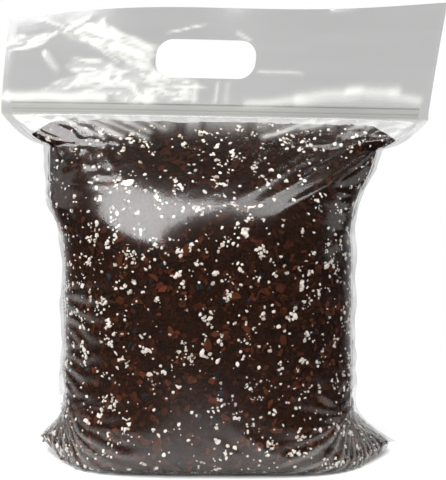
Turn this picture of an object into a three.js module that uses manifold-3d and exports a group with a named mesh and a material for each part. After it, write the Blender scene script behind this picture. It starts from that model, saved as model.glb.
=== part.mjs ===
// A clear press-to-close bag of chunky potting compost, standing upright on its filled base.
//
// The bag is one sheet of clear film, folded across the bottom and welded up both sides. Two zip
// strips, a rib and the groove that it snaps into, close it under a flat header with a punched
// hand hole. The compost fills the pouch almost to the zip. Its largest perlite nuggets, bark chips
// and charcoal lumps press against the film and are pieces of their own, each in its own pocket.
//
// X runs across the bag, the front faces -Y and Z is up. The origin is on the floor, below the
// middle of the whole bag. All sizes are in millimetres.

import * as THREE from "three";
import { mergeVertices } from "three/addons/utils/BufferGeometryUtils.js";
import Module from "manifold-3d";

const wasm = await Module();
wasm.setup();

const { clamp, lerp, smoothstep } = THREE.MathUtils;

// The film: one layer, the weld up each side, and the flat strip outside the fill
const film = { thickness: 0.1, sealWidth: 4, finWidth: 6.5, layHalfGap: 0.35 };

// The filled pouch below the zip, between its two side fins
const body = {
  width: 234,
  depth: 180,
  baseRadius: 22,
  wallHeight: 178,
  squareness: 2.4,
  baseSquareness: 4.6,
  middleX: -12,
  swayX: -5,
  swayHeight: 208,
};

// The two bottom corners, which stand out as ears where the base is pressed flat. The fullness is
// how much the side edge lags behind the middle of the front as both rise from the fold. The tilt
// is how much higher than their mean height the left tip is, and how much lower the right one.
const ear = {
  span: 302,
  tipHeight: 10,
  rootHeight: 40,
  sharpness: 1.7,
  fullness: 1.7,
  flatShare: 0.74,
  shiftX: 6,
  tilt: 3,
};

// The sloping film between the filled body and the zip
const shoulder = { neckWidth: 264, neckDrop: 29.5, reach: 46, zipAngle: 0.85, flare: 0.6 };

// The zip strips, with the flange welded to the film, and the rib that snaps into the groove
const zip = {
  height: 281.5,
  flangeHeight: 10,
  flangeThickness: 0.3,
  filmClearance: 0.3,
  halfThickness: 1.4,
  stemHalf: 0.3,
  headHalf: 0.8,
  headTipHalf: 0.4,
  headDepth: 0.7,
  lipThickness: 0.4,
  hookThickness: 0.5,
  snapClearance: 0.3,
  middleX: -6.5,
  bow: 7,
  tilt: 3,
};

// The flat header above the zip
const header = {
  width: 344,
  topWidth: 350,
  height: 82,
  layHalfGap: 0.6,
  middleX: 2,
  topTilt: 4.5,
  topWave: 3.5,
  leanBack: 7,
  twist: 21,
  ripple: 2.2,
  rippleLength: 130,
};

const handHole = { width: 80, height: 31, cornerRadius: 13, offsetX: -11.5, aboveZip: 40.5 };

// Folds that the fill presses into the film
const gathers = { depth: 3, count: 8, sideShare: 6 };
const pleats = { depth: 3.6, fans: 13, shoulderReach: 150, earReach: 80 };

// The compost and the pieces in it
const fill = {
  filmGap: 0.3,
  looseGap: 1.0,
  sideGap: 1.4,
  relief: 1.8,
  headroom: 17.5,
  neckWidth: 262,
};
const pocketClearance = 0.3;
const perlite = {
  count: 16,
  radius: 4.6,
  stretch: [1.15, 0.95, 0.9],
  roughness: 0.16,
  rounded: true,
};
const bark = { count: 12, radius: 7.2, stretch: [1.35, 0.8, 0.5], roughness: 0.16, rounded: false };
const charcoal = {
  count: 8,
  radius: 5.6,
  stretch: [1.1, 0.9, 0.7],
  roughness: 0.12,
  rounded: false,
};

// How finely the sheet is divided
const PROFILE_ROWS = 30;
const HEADER_ROWS = 5;
const COLUMN_ANGLES = [0, 14, 28, 42, 55, 66, 76, 84, 90];

const FRONT = -1;
const BACK = 1;

// The middle of the bag leans a little as it rises: this is its X at a height.
function middleAt(height) {
  const toZip = smoothstep(height, body.wallHeight, zip.height);
  const toTop = clamp((height - zip.height) / header.height, 0, 1);
  const sway = body.swayX * Math.exp(-(((height - body.swayHeight) / 24) ** 2));
  const foot = ear.shiftX * (1 - smoothstep(height, 0, ear.rootHeight));
  return lerp(lerp(body.middleX, zip.middleX, toZip), header.middleX, toTop) + sway + foot;
}

// Half of the film's width, from edge to edge, at a height of its side edge.
function halfWidthAt(height) {
  const earShare = clamp((ear.rootHeight - height) / (ear.rootHeight - ear.tipHeight), 0, 1);
  const neckHeight = zip.height - shoulder.neckDrop;
  const neckShare = smoothstep(height, body.wallHeight, neckHeight);
  const zipFoot = zip.height - zip.flangeHeight / 2;
  const flare = clamp((height - neckHeight) / (zipFoot - neckHeight), 0, 1);
  const top = clamp((height - zip.height) / header.height, 0, 1);
  return (
    body.width / 2 +
    film.finWidth +
    (ear.span / 2 - body.width / 2 - film.finWidth) * earShare ** ear.sharpness +
    ((shoulder.neckWidth - body.width) / 2) * neckShare +
    ((header.width - shoulder.neckWidth) / 2 - film.finWidth) * flare ** shoulder.flare +
    ((header.topWidth - header.width) / 2) * top
  );
}

// The line up the middle of the front, from the bottom fold to the foot of the zip: along the
// floor, round the base, up the wall, and back over the shoulder.
function middleProfile() {
  const halfDepth = body.depth / 2;
  const zipFoot = zip.height - zip.flangeHeight / 2;
  const flat = halfDepth - body.baseRadius;
  const path = new THREE.Path();
  path.moveTo(0, 0);
  path.lineTo(flat, 0);
  path.absarc(flat, body.baseRadius, body.baseRadius, -Math.PI / 2, 0, false);
  path.lineTo(halfDepth, body.wallHeight);
  path.bezierCurveTo(
    halfDepth,
    body.wallHeight + shoulder.reach,
    shoulder.reach,
    zipFoot - shoulder.reach * shoulder.zipAngle,
    zipHalfGap(),
    zipFoot,
  );
  return path.getSpacedPoints(PROFILE_ROWS);
}

// Half the distance between the outer faces of the two films at the zip.
function zipHalfGap() {
  return zip.halfThickness + zip.filmClearance + film.thickness;
}

// How far up the side edge a row meets it, as a share. Near the base it lags, which fills the ears.
function edgeShare(share) {
  return lerp(share ** ear.fullness, share, smoothstep(share, 0.2, 0.8));
}

// One entry for each row of the sheet: where it passes the middle of the front (depth, height),
// how high it meets the side edge, and how far apart the two films lie beside the fill.
function sheetRows() {
  const rows = middleProfile().map((point, index) => {
    const share = index / PROFILE_ROWS;
    const zipFoot = zip.height - zip.flangeHeight / 2;
    return {
      depth: point.x,
      height: point.y,
      sideHeight: lerp(ear.tipHeight, zipFoot, edgeShare(share)),
      layHalfGap: lerp(film.layHalfGap, zipHalfGap(), smoothstep(share, 0.9, 1)),
      folds: Math.sin(Math.PI * clamp(share * 1.04, 0, 1)) ** 0.5,
      squareness: lerp(body.baseSquareness, body.squareness, smoothstep(share, 0.05, 0.4)),
    };
  });
  const flat = (height, halfGap) => ({
    depth: halfGap,
    height,
    sideHeight: height,
    layHalfGap: halfGap,
    folds: 0,
    squareness: body.squareness,
  });
  const zipTop = zip.height + zip.flangeHeight / 2;
  const top = zip.height + header.height;
  const firstHeaderRow = zipTop + 2 * zipHalfGap();
  rows.push(flat(zipTop, zipHalfGap()));
  for (let i = 0; i < HEADER_ROWS; i++) {
    rows.push(flat(lerp(firstHeaderRow, top, i / (HEADER_ROWS - 1)), header.layHalfGap));
  }
  return rows;
}

const ROWS = sheetRows();

// Signed angles of the columns round the filled part of a section, from side to side.
const ANGLES = [
  ...COLUMN_ANGLES.slice(1).reverse().map((degrees) => -degrees),
  ...COLUMN_ANGLES,
].map(THREE.MathUtils.degToRad);

// The points of a superellipse quarter: how far along X and Y an angle lies, as shares.
function sectionShare(angle, squareness) {
  const power = 2 / squareness;
  return {
    across: Math.sign(angle) * Math.abs(Math.sin(angle)) ** power,
    out: Math.abs(angle) < Math.PI / 2 ? Math.cos(angle) ** power : 0,
  };
}

// How far a row has risen from its middle height towards its side height at an angle: nothing
// over the middle, so that the base is flat where it stands.
function riseShare(angle) {
  const share = (Math.abs(Math.sin(angle)) - ear.flatShare) / (1 - ear.flatShare);
  return clamp(share, 0, 1) ** 1.8;
}

// A point of the filled section of a row, before the folds. The fins stay outside it.
function sectionPoint(row, angle, halfWidth, depth, layHalfGap) {
  const { across, out } = sectionShare(angle, row.squareness);
  return new THREE.Vector3(
    halfWidth * across,
    layHalfGap + Math.max(depth - layHalfGap, 0) * out,
    lerp(row.height, row.sideHeight, riseShare(angle)),
  );
}

// How far the film stands out in pleats that fan from a zip end or from the root of an ear.
function pleatAt(point) {
  const fan = (fromX, fromZ, reach, low, high) => {
    const inward = fromX - Math.abs(point.x);
    const down = Math.abs(fromZ - point.z);
    const distance = Math.hypot(inward, down);
    const near = smoothstep(distance, 0.12 * reach, 0.4 * reach);
    const far = 1 - smoothstep(distance, 0.5 * reach, reach);
    const within = smoothstep(point.z, low, low + 12) * (1 - smoothstep(point.z, high - 12, high));
    return near * far * within * (0.5 + 0.5 * Math.cos(pleats.fans * Math.atan2(down, inward)));
  };
  const zipFoot = zip.height - zip.flangeHeight / 2;
  return (
    pleats.depth *
    (fan(header.width / 2, zipFoot, pleats.shoulderReach, body.wallHeight, zipFoot) +
      fan(body.width / 2, ear.rootHeight, pleats.earReach, 3, body.wallHeight / 2))
  );
}

// Leans, bows and gathers the bag, and moves it over its place on the floor.
function drape(point) {
  const { x, y, z } = point;
  const edge = clamp(Math.abs(x) / halfWidthAt(z), 0, 1);
  const above = clamp((z - zip.height) / header.height, 0, 1);
  const towardsZip = smoothstep(z, body.wallHeight, zip.height);
  const crimp = Math.sin((2 * Math.PI * gathers.count * z) / zip.height + Math.sign(x));
  const gather = gathers.depth * edge ** gathers.sideShare * crimp * (1 - towardsZip);
  const bow = zip.bow * towardsZip * Math.cos((Math.PI * x) / header.width);
  const lean = (header.leanBack - (header.twist * x) / (header.width / 2)) * above ** 1.3;
  const ripple =
    header.ripple * above * Math.sin((2 * Math.PI * x) / header.rippleLength + 2 * above);
  const level = x / (header.width / 2);
  const tilt =
    header.topTilt * above -
    zip.tilt * towardsZip * (1 - above) -
    ear.tilt * smoothstep(z, 0, ear.tipHeight) * (1 - smoothstep(z, 2 * ear.tipHeight, 90));
  const wave = header.topWave * above * Math.sin(Math.PI * level);
  return new THREE.Vector3(
    x + middleAt(z),
    y + gather + bow + lean + ripple,
    z + tilt * level - wave - (lean * lean) / (2 * header.height),
  );
}

// The outer face of one side of the film, as rows of points. Each row ends in the weld's inner
// and outer edge at both sides.
function outerFace(side) {
  const smooth = ROWS.map((row) => {
    const edge = halfWidthAt(row.sideHeight);
    const filled = ANGLES.map((angle) =>
      sectionPoint(row, angle, edge - film.finWidth, row.depth, Math.min(row.layHalfGap, row.depth)),
    );
    const weld = (x) =>
      new THREE.Vector3(x, Math.min(film.thickness, row.depth), row.sideHeight);
    return [
      weld(-edge),
      weld(-edge + film.sealWidth),
      ...filled,
      weld(edge - film.sealWidth),
      weld(edge),
    ];
  });
  const out = faceNormals(smooth);
  return smooth.map((points, r) =>
    points.map((point, c) => {
      const pleat = pleatAt(point) * ROWS[r].folds;
      const weldColumn = c < 2 || c > points.length - 3;
      const moved = point.clone();
      if (!weldColumn) {
        moved.x += out[r][c].x * pleat;
        moved.y += out[r][c].y * pleat;
      }
      moved.y *= side;
      return drape(moved);
    }),
  );
}

// The outward normal at each point of a grid of rows, from its neighbours.
function faceNormals(grid) {
  const lastRow = grid.length - 1;
  return grid.map((points, r) =>
    points.map((point, c) => {
      const along = points[Math.min(c + 1, points.length - 1)]
        .clone()
        .sub(points[Math.max(c - 1, 0)]);
      const up = grid[Math.min(r + 1, lastRow)][c].clone().sub(grid[Math.max(r - 1, 0)][c]);
      return up.cross(along).normalize();
    }),
  );
}

// A grid moved inwards by an inset, along its normals.
function insetFace(grid, side, inset) {
  const normals = faceNormals(grid);
  return grid.map((points, r) =>
    points.map((point, c) => point.clone().addScaledVector(normals[r][c], -side * inset)),
  );
}

// Collects triangles, as loose corners, and welds them into one closed solid.
class Shell {
  corners = [];

  triangle(a, b, c) {
    this.corners.push(a, b, c);
  }

  quad(a, b, c, d) {
    this.triangle(a, b, c);
    this.triangle(a, c, d);
  }

  // The faces of a grid. A turned grid has its faces the other way round.
  grid(rows, turned) {
    for (let r = 0; r + 1 < rows.length; r++) {
      for (let c = 0; c + 1 < rows[r].length; c++) {
        const [a, b, d, e] = [rows[r][c], rows[r][c + 1], rows[r + 1][c + 1], rows[r + 1][c]];
        if (turned) this.quad(a, e, d, b);
        else this.quad(a, b, d, e);
      }
    }
  }

  geometry() {
    return weldedGeometry(this.corners);
  }
}

// Loose triangle corners as an indexed geometry, without the triangles that have no area.
function weldedGeometry(corners) {
  const loose = new THREE.BufferGeometry().setFromPoints(corners);
  const welded = mergeVertices(loose, 1e-4);
  const index = welded.index.array;
  const kept = [];
  for (let i = 0; i < index.length; i += 3) {
    const [a, b, c] = [index[i], index[i + 1], index[i + 2]];
    if (a !== b && b !== c && c !== a) kept.push(a, b, c);
  }
  welded.setIndex(kept);
  return welded;
}

function solidFrom(geometry) {
  return new wasm.Manifold(
    new wasm.Mesh({
      numProp: 3,
      vertProperties: geometry.getAttribute("position").array,
      triVerts: new Uint32Array(geometry.index.array),
    }),
  );
}

function geometryFrom(solid) {
  const { numProp, vertProperties, triVerts } = solid.getMesh();
  const positions = new Float32Array((vertProperties.length / numProp) * 3);
  for (let i = 0; i < positions.length / 3; i++) {
    positions.set(vertProperties.subarray(i * numProp, i * numProp + 3), i * 3);
  }
  const geometry = new THREE.BufferGeometry();
  geometry.setAttribute("position", new THREE.BufferAttribute(positions, 3));
  geometry.setIndex(new THREE.BufferAttribute(new Uint32Array(triVerts), 1));
  geometry.computeVertexNormals();
  return geometry;
}

// A solid from any three.js geometry that is closed.
function solidFromShape(geometry) {
  const bare = geometry.index ? geometry.toNonIndexed() : geometry.clone();
  bare.deleteAttribute("normal");
  bare.deleteAttribute("uv");
  return solidFrom(mergeVertices(bare, 1e-4));
}

// The bag as a sheet of some thickness inside its outer face: front and back joined along the
// bottom fold and the side welds, and open between the two films at the top edge.
function bagSheet(thickness) {
  const front = outerFace(FRONT);
  const back = outerFace(BACK);
  const frontInner = insetFace(front, FRONT, thickness);
  const backInner = insetFace(back, BACK, thickness);
  const last = front[0].length - 1;
  const top = front.length - 1;

  // The two inner faces meet along the fold and along the inner edge of each weld.
  const meet = (a, b) => {
    a.add(b).multiplyScalar(0.5);
    b.copy(a);
  };
  front[0].forEach((point, c) => meet(point, back[0][c]));
  frontInner.forEach((points, r) => {
    meet(points[1], backInner[r][1]);
    meet(points[last - 1], backInner[r][last - 1]);
  });
  frontInner[0].forEach((point, c) => {
    meet(point, backInner[0][c]);
    point.z = Math.max(point.z, front[0][c].z + thickness);
    backInner[0][c].copy(point);
  });

  const shell = new Shell();
  shell.grid(front, false);
  shell.grid(back, true);
  for (let r = 0; r < top; r++) {
    shell.quad(front[r][0], front[r + 1][0], back[r + 1][0], back[r][0]);
    shell.quad(front[r][last], back[r][last], back[r + 1][last], front[r + 1][last]);
  }
  const inside = (rows) => rows.map((points) => points.slice(1, -1));
  shell.grid(inside(frontInner), true);
  shell.grid(inside(backInner), false);

  // The rim of the mouth, and the ends of the two welds
  for (let c = 1; c < last - 1; c++) {
    shell.quad(front[top][c], front[top][c + 1], frontInner[top][c + 1], frontInner[top][c]);
    shell.quad(back[top][c], backInner[top][c], backInner[top][c + 1], back[top][c + 1]);
  }
  const weldEnd = (meetPoint, f0, f1, b1, b0) => {
    shell.triangle(meetPoint, f0, f1);
    shell.triangle(meetPoint, f1, b1);
    shell.triangle(meetPoint, b1, b0);
  };
  weldEnd(
    frontInner[top][last - 1],
    front[top][last - 1],
    front[top][last],
    back[top][last],
    back[top][last - 1],
  );
  weldEnd(frontInner[top][1], back[top][1], back[top][0], front[top][0], front[top][1]);

  return solidFrom(shell.geometry());
}

// A rounded bar that runs through both films of the header.
function handHoleCutter() {
  const { width, height, cornerRadius } = handHole;
  const x = width / 2 - cornerRadius;
  const y = height / 2 - cornerRadius;
  const outline = new THREE.Shape();
  outline.absarc(x, y, cornerRadius, 0, Math.PI / 2, false);
  outline.absarc(-x, y, cornerRadius, Math.PI / 2, Math.PI, false);
  outline.absarc(-x, -y, cornerRadius, Math.PI, 1.5 * Math.PI, false);
  outline.absarc(x, -y, cornerRadius, 1.5 * Math.PI, 2 * Math.PI, false);
  outline.closePath();
  const length = body.depth;
  const bar = new THREE.ExtrudeGeometry(outline, {
    depth: length,
    bevelEnabled: false,
    curveSegments: 6,
  });
  bar.translate(0, 0, -length / 2);
  bar.rotateX(Math.PI / 2);
  const height0 = zip.height + handHole.aboveZip;
  bar.translate(middleAt(height0) + handHole.offsetX, 0, height0);
  return solidFromShape(bar);
}

// A strip with one section all along the zip. The outline's points are (y, height) pairs round
// the zip's centre line, and the strip ends where the side welds begin.
function zipStrip(outline) {
  const reach = halfWidthAt(zip.height - zip.flangeHeight / 2) - film.finWidth;
  const rings = ANGLES.map((angle) =>
    outline.map(([y, up]) =>
      drape(
        new THREE.Vector3(
          reach * sectionShare(angle, body.squareness).across,
          y,
          zip.height + up,
        ),
      ),
    ),
  );
  const shell = new Shell();
  const count = outline.length;
  for (let i = 0; i + 1 < rings.length; i++) {
    for (let j = 0; j < count; j++) {
      const k = (j + 1) % count;
      shell.quad(rings[i][j], rings[i][k], rings[i + 1][k], rings[i + 1][j]);
    }
  }
  const caps = THREE.ShapeUtils.triangulateShape(
    outline.map(([y, up]) => new THREE.Vector2(y, up)),
    [],
  );
  const [first, lastRing] = [rings[0], rings[rings.length - 1]];
  for (const [a, b, c] of caps) {
    shell.triangle(first[a], first[c], first[b]);
    shell.triangle(lastRing[a], lastRing[b], lastRing[c]);
  }
  const solid = solidFrom(shell.geometry());
  return solid;
}

// The strip on the front film: a flange with an arrow-headed rib that points to the back.
function zipRib() {
  const outer = -zip.halfThickness;
  const inner = outer + zip.flangeThickness;
  const headBack = inner + zip.lipThickness + 2 * zip.snapClearance;
  const tip = headBack + zip.headDepth;
  const half = zip.flangeHeight / 2;
  return zipStrip([
    [outer, half],
    [outer, -half],
    [inner, -half],
    [inner, -zip.stemHalf],
    [headBack, -zip.stemHalf],
    [headBack, -zip.headHalf],
    [tip, -zip.headTipHalf],
    [tip, zip.headTipHalf],
    [headBack, zip.headHalf],
    [headBack, zip.stemHalf],
    [inner, zip.stemHalf],
    [inner, half],
  ]);
}

// The strip on the back film: a flange with two hooks that close round the rib's head.
function zipGroove() {
  const outer = zip.halfThickness;
  const inner = outer - zip.flangeThickness;
  const lipFront = -zip.halfThickness + zip.flangeThickness + zip.snapClearance;
  const lipBack = lipFront + zip.lipThickness;
  const lipEdge = zip.stemHalf + zip.snapClearance;
  const hookInner = zip.headHalf + zip.snapClearance;
  const hookOuter = hookInner + zip.hookThickness;
  const half = zip.flangeHeight / 2;
  return zipStrip([
    [outer, -half],
    [outer, half],
    [inner, half],
    [inner, hookOuter],
    [lipFront, hookOuter],
    [lipFront, lipEdge],
    [lipBack, lipEdge],
    [lipBack, hookInner],
    [inner, hookInner],
    [inner, -hookInner],
    [lipBack, -hookInner],
    [lipBack, -lipEdge],
    [lipFront, -lipEdge],
    [lipFront, -hookOuter],
    [inner, -hookOuter],
    [inner, -half],
  ]);
}

// A repeatable random number from 0 to 1 for a counter and a stream.
function scatter(counter, stream) {
  const value = Math.sin(counter * 127.1 + stream * 311.7) * 43758.5453;
  return value - Math.floor(value);
}

// One side of the fill's surface, a given distance inside the film. Relief dents it.
function fillFace(side, gap, relief) {
  const rows = ROWS.filter(
    (row, r) => r % 2 === 0 && r <= PROFILE_ROWS && row.height <= zip.height - fill.headroom,
  );
  const inset = film.thickness + gap;
  return rows.map((row, r) => {
    const filled = Math.min(
      halfWidthAt(row.sideHeight) - film.finWidth,
      fill.neckWidth / 2,
    );
    return ANGLES.map((angle, c) => {
      const dent = relief * scatter(r * ANGLES.length + c, side);
      const depth = Math.max(row.depth - inset - dent, 0);
      const point = sectionPoint(row, angle, filled - fill.sideGap - gap, depth, 0);
      point.z = Math.max(point.z, film.thickness + fill.filmGap);
      point.z -= row.depth > 0 && row.height > body.baseRadius ? 0 : -fill.filmGap * riseShare(angle);
      point.y *= side;
      return drape(point);
    });
  });
}

// The fill as one solid: its two sides meet at the fold and at the side edges, with a top between.
// Whatever would come nearer to the film than the gap is cut away.
function fillSolid(gap, relief) {
  const front = fillFace(FRONT, gap, relief);
  const back = fillFace(BACK, gap, relief);
  const last = front[0].length - 1;
  const top = front.length - 1;
  const shell = new Shell();
  shell.grid(front, false);
  shell.grid(back, true);
  for (let c = 0; c < last; c++) {
    shell.quad(front[top][c], front[top][c + 1], back[top][c + 1], back[top][c]);
  }
  const trimmed = solidFrom(shell.geometry()).subtract(bagSheet(film.thickness + fill.filmGap));
  return largestPart(trimmed);
}

function largestPart(solid) {
  return solid.decompose().reduce((best, part) => (part.volume() > best.volume() ? part : best));
}

// A rough lump: a stretched ball of flat faces with its corners moved in and out.
function lumpGeometry(kind, number, growth) {
  const Ball = kind.rounded ? THREE.OctahedronGeometry : THREE.IcosahedronGeometry;
  const ball = new Ball(kind.radius, kind.rounded ? 1 : 0);
  ball.deleteAttribute("normal");
  ball.deleteAttribute("uv");
  const lump = mergeVertices(ball, 1e-4);
  const position = lump.getAttribute("position");
  const corner = new THREE.Vector3();
  const [sx, sy, sz] = kind.stretch;
  for (let i = 0; i < position.count; i++) {
    const push = 1 + kind.roughness * (2 * scatter(i + 40 * number, kind.count) - 1);
    corner.fromBufferAttribute(position, i).multiply(new THREE.Vector3(sx, sy, sz));
    corner.multiplyScalar(push);
    corner.setLength(corner.length() + growth);
    position.setXYZ(i, corner.x, corner.y, corner.z);
  }
  return lump;
}

// Places for the loose pieces, spread evenly over both sides of the fill by a golden-ratio walk.
function placesOn(count, offset) {
  const step = 0.7548776662;
  const secondStep = 0.5698402910;
  return Array.from({ length: count }, (_, i) => {
    const n = i + offset;
    return {
      side: n % 2 ? FRONT : BACK,
      angle: lerp(-1.15, 1.15, (0.5 + n * step) % 1),
      share: lerp(0.24, 0.86, (0.5 + n * secondStep) % 1),
    };
  });
}

// Where a loose piece sits, and which way out of the fill it faces.
function seatOf(place) {
  const at = (angle, exact) => {
    const below = ROWS[Math.floor(exact)];
    const above = ROWS[Math.floor(exact) + 1];
    const part = exact % 1;
    const row = {
      height: lerp(below.height, above.height, part),
      sideHeight: lerp(below.sideHeight, above.sideHeight, part),
      squareness: lerp(below.squareness, above.squareness, part),
    };
    const depth = lerp(below.depth, above.depth, part);
    const filled = halfWidthAt(row.sideHeight) - film.finWidth;
    const point = sectionPoint(row, angle, filled, depth, 0);
    point.y *= place.side;
    return drape(point);
  };
  const exact = place.share * PROFILE_ROWS;
  const centre = at(place.angle, exact);
  const across = at(place.angle + 0.05, exact).sub(centre);
  const up = at(place.angle, exact + 0.5).sub(centre);
  const out = up.cross(across).normalize().multiplyScalar(place.side);
  return { centre, out };
}

// The loose pieces of one kind: each is trimmed to the space inside the film and has a pocket.
function loosePieces(name, kind, offset, colour, space) {
  return placesOn(kind.count, offset).map((place, i) => {
    const { centre, out } = seatOf(place);
    const sunk = centre.clone().addScaledVector(out, -kind.radius * kind.stretch[2] * 0.8);
    const turn = new THREE.Quaternion()
      .setFromUnitVectors(new THREE.Vector3(0, 0, 1), out)
      .multiply(
        new THREE.Quaternion().setFromAxisAngle(
          new THREE.Vector3(0, 0, 1),
          2 * Math.PI * scatter(i, kind.count + 1),
        ),
      );
    const placed = (growth) =>
      solidFrom(
        lumpGeometry(kind, i, growth).applyMatrix4(
          new THREE.Matrix4().compose(sunk, turn, new THREE.Vector3(1, 1, 1)),
        ),
      );
    return {
      name: `${name}_${String(i + 1).padStart(2, "0")}`,
      solid: placed(0).intersect(space),
      pocket: placed(pocketClearance),
      colour,
    };
  });
}

function meshOf(name, solid, material) {
  const mesh = new THREE.Mesh(geometryFrom(solid), material);
  mesh.name = name;
  return mesh;
}

function material(colour, roughness, opacity = 1) {
  return new THREE.MeshStandardMaterial({
    color: colour,
    roughness,
    metalness: 0,
    opacity,
    transparent: opacity < 1,
  });
}

function compostBag() {
  const space = fillSolid(fill.filmGap, 0);
  const pieces = [
    ...loosePieces("perlite_nugget", perlite, 0, 0xe9e6df, space),
    ...loosePieces("bark_chip", bark, perlite.count, 0x4a2718, space),
    ...loosePieces("charcoal_lump", charcoal, perlite.count + bark.count, 0x1d2224, space),
  ];
  const pockets = wasm.Manifold.union(pieces.map((piece) => piece.pocket));
  const compost = fillSolid(fill.looseGap, fill.relief).subtract(pockets);

  const bag = new THREE.Group();
  bag.name = "compost_bag";
  const filmBag = bagSheet(film.thickness).subtract(handHoleCutter());
  bag.add(meshOf("film_bag", filmBag, material(0xd6d6d2, 0.15, 0.3)));
  bag.add(meshOf("zip_rib", zipRib(), material(0xe4e4e0, 0.3, 0.6)));
  bag.add(meshOf("zip_groove", zipGroove(), material(0xe4e4e0, 0.3, 0.6)));
  bag.add(meshOf("compost", compost, material(0x2e1c14, 0.95)));

  const contents = new THREE.Group();
  contents.name = "loose_pieces";
  for (const { name, solid, colour } of pieces) {
    contents.add(meshOf(name, solid, material(colour, 0.9)));
  }
  bag.add(contents);
  return bag;
}

export default compostBag();
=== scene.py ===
"""A clear zip bag of chunky potting compost, standing on a pale studio floor.

The film follows the part's own surface and is then relaxed as a sheet that can't stretch, so that
its spare length gathers into crimps down the sides and folds below the zip. The fill is a dark
mass with bark chips, perlite grains and charcoal grains pressed against the inside of the film.
Lengths are millimetres while a surface is worked out and metres once it is a mesh.
"""

import logging
import math
from dataclasses import dataclass, field
from enum import Enum

import bpy
import numpy as np
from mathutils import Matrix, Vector

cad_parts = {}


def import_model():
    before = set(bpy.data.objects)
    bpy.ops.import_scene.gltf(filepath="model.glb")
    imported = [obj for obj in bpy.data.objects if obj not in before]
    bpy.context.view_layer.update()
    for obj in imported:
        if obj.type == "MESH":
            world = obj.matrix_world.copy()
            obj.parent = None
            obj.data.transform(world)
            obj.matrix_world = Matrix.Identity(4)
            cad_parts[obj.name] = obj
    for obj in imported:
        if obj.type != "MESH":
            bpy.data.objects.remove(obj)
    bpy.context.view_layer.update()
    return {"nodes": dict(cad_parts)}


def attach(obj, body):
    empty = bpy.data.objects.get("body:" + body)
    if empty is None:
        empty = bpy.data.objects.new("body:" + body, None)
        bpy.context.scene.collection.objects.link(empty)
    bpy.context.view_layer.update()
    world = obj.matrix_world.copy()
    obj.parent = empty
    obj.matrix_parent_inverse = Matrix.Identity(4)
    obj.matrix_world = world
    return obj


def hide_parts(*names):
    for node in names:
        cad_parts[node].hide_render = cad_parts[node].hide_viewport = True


LOG = logging.getLogger("compost_bag")
MM = 0.001


class Side(Enum):
    """The two films of the bag, by the sign of their Y."""

    FRONT = -1
    BACK = 1


def clamp(value: np.ndarray, low: float = 0.0, high: float = 1.0) -> np.ndarray:
    """Limits a value to a range."""
    return np.clip(value, low, high)


def lerp(start: np.ndarray, end: np.ndarray, share: np.ndarray) -> np.ndarray:
    """Start plus the share of the way to end."""
    return start + (end - start) * share


def smoothstep(value: np.ndarray, low: float, high: float) -> np.ndarray:
    """Three x squared minus two x cubed, of the value's place between low and high."""
    share = clamp((value - low) / (high - low))
    return share * share * (3 - 2 * share)


def linear_colour(code: str) -> tuple[float, float, float, float]:
    """An sRGB hex colour as linear RGBA.

    Each channel is divided by 12.92 where it is dark, and is otherwise raised to the power 2.4
    after an offset of 0.055, as the sRGB curve says.

    Args:
        code: Six hex digits.

    Returns:
        The linear colour, opaque.
    """
    srgb = [int(code[i : i + 2], 16) / 255 for i in (0, 2, 4)]
    red, green, blue = (
        c / 12.92 if c <= 0.04045 else ((c + 0.055) / 1.055) ** 2.4 for c in srgb
    )
    return red, green, blue, 1.0


def unit(vectors: np.ndarray) -> np.ndarray:
    """Vectors divided by their length."""
    return vectors / np.maximum(np.linalg.norm(vectors, axis=-1, keepdims=True), 1e-9)


def value_noise(
    points: np.ndarray, cell: float, seed: int, octaves: int = 2
) -> np.ndarray:
    """Smooth random values from -1 to 1 over space.

    Each lattice corner has a hashed random value, and a point blends its eight corners' values
    with a smoothstep weight. Each further octave has half the cell and half the height.

    Args:
        points: Points in any shape with a last axis of 3, in mm.
        cell: The lattice's size in mm.
        seed: Picks another pattern.
        octaves: How many layers are added.

    Returns:
        One value a point.
    """
    total = np.zeros(points.shape[:-1])
    height = 1.0
    for octave in range(octaves):
        scaled = points / (cell / 2**octave) + 31.7 * seed
        corner = np.floor(scaled)
        part = scaled - corner
        part = part * part * (3 - 2 * part)
        blended = np.zeros(total.shape)
        for step in np.ndindex(2, 2, 2):
            weight = np.prod(np.where(step, part, 1 - part), axis=-1)
            key = (corner + np.array(step)) @ np.array([127.1, 311.7, 74.7])
            hashed = np.sin(key) * 43758.5453
            blended += weight * (2 * (hashed - np.floor(hashed)) - 1)
        total += height * blended
        height /= 2
    return total


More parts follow.
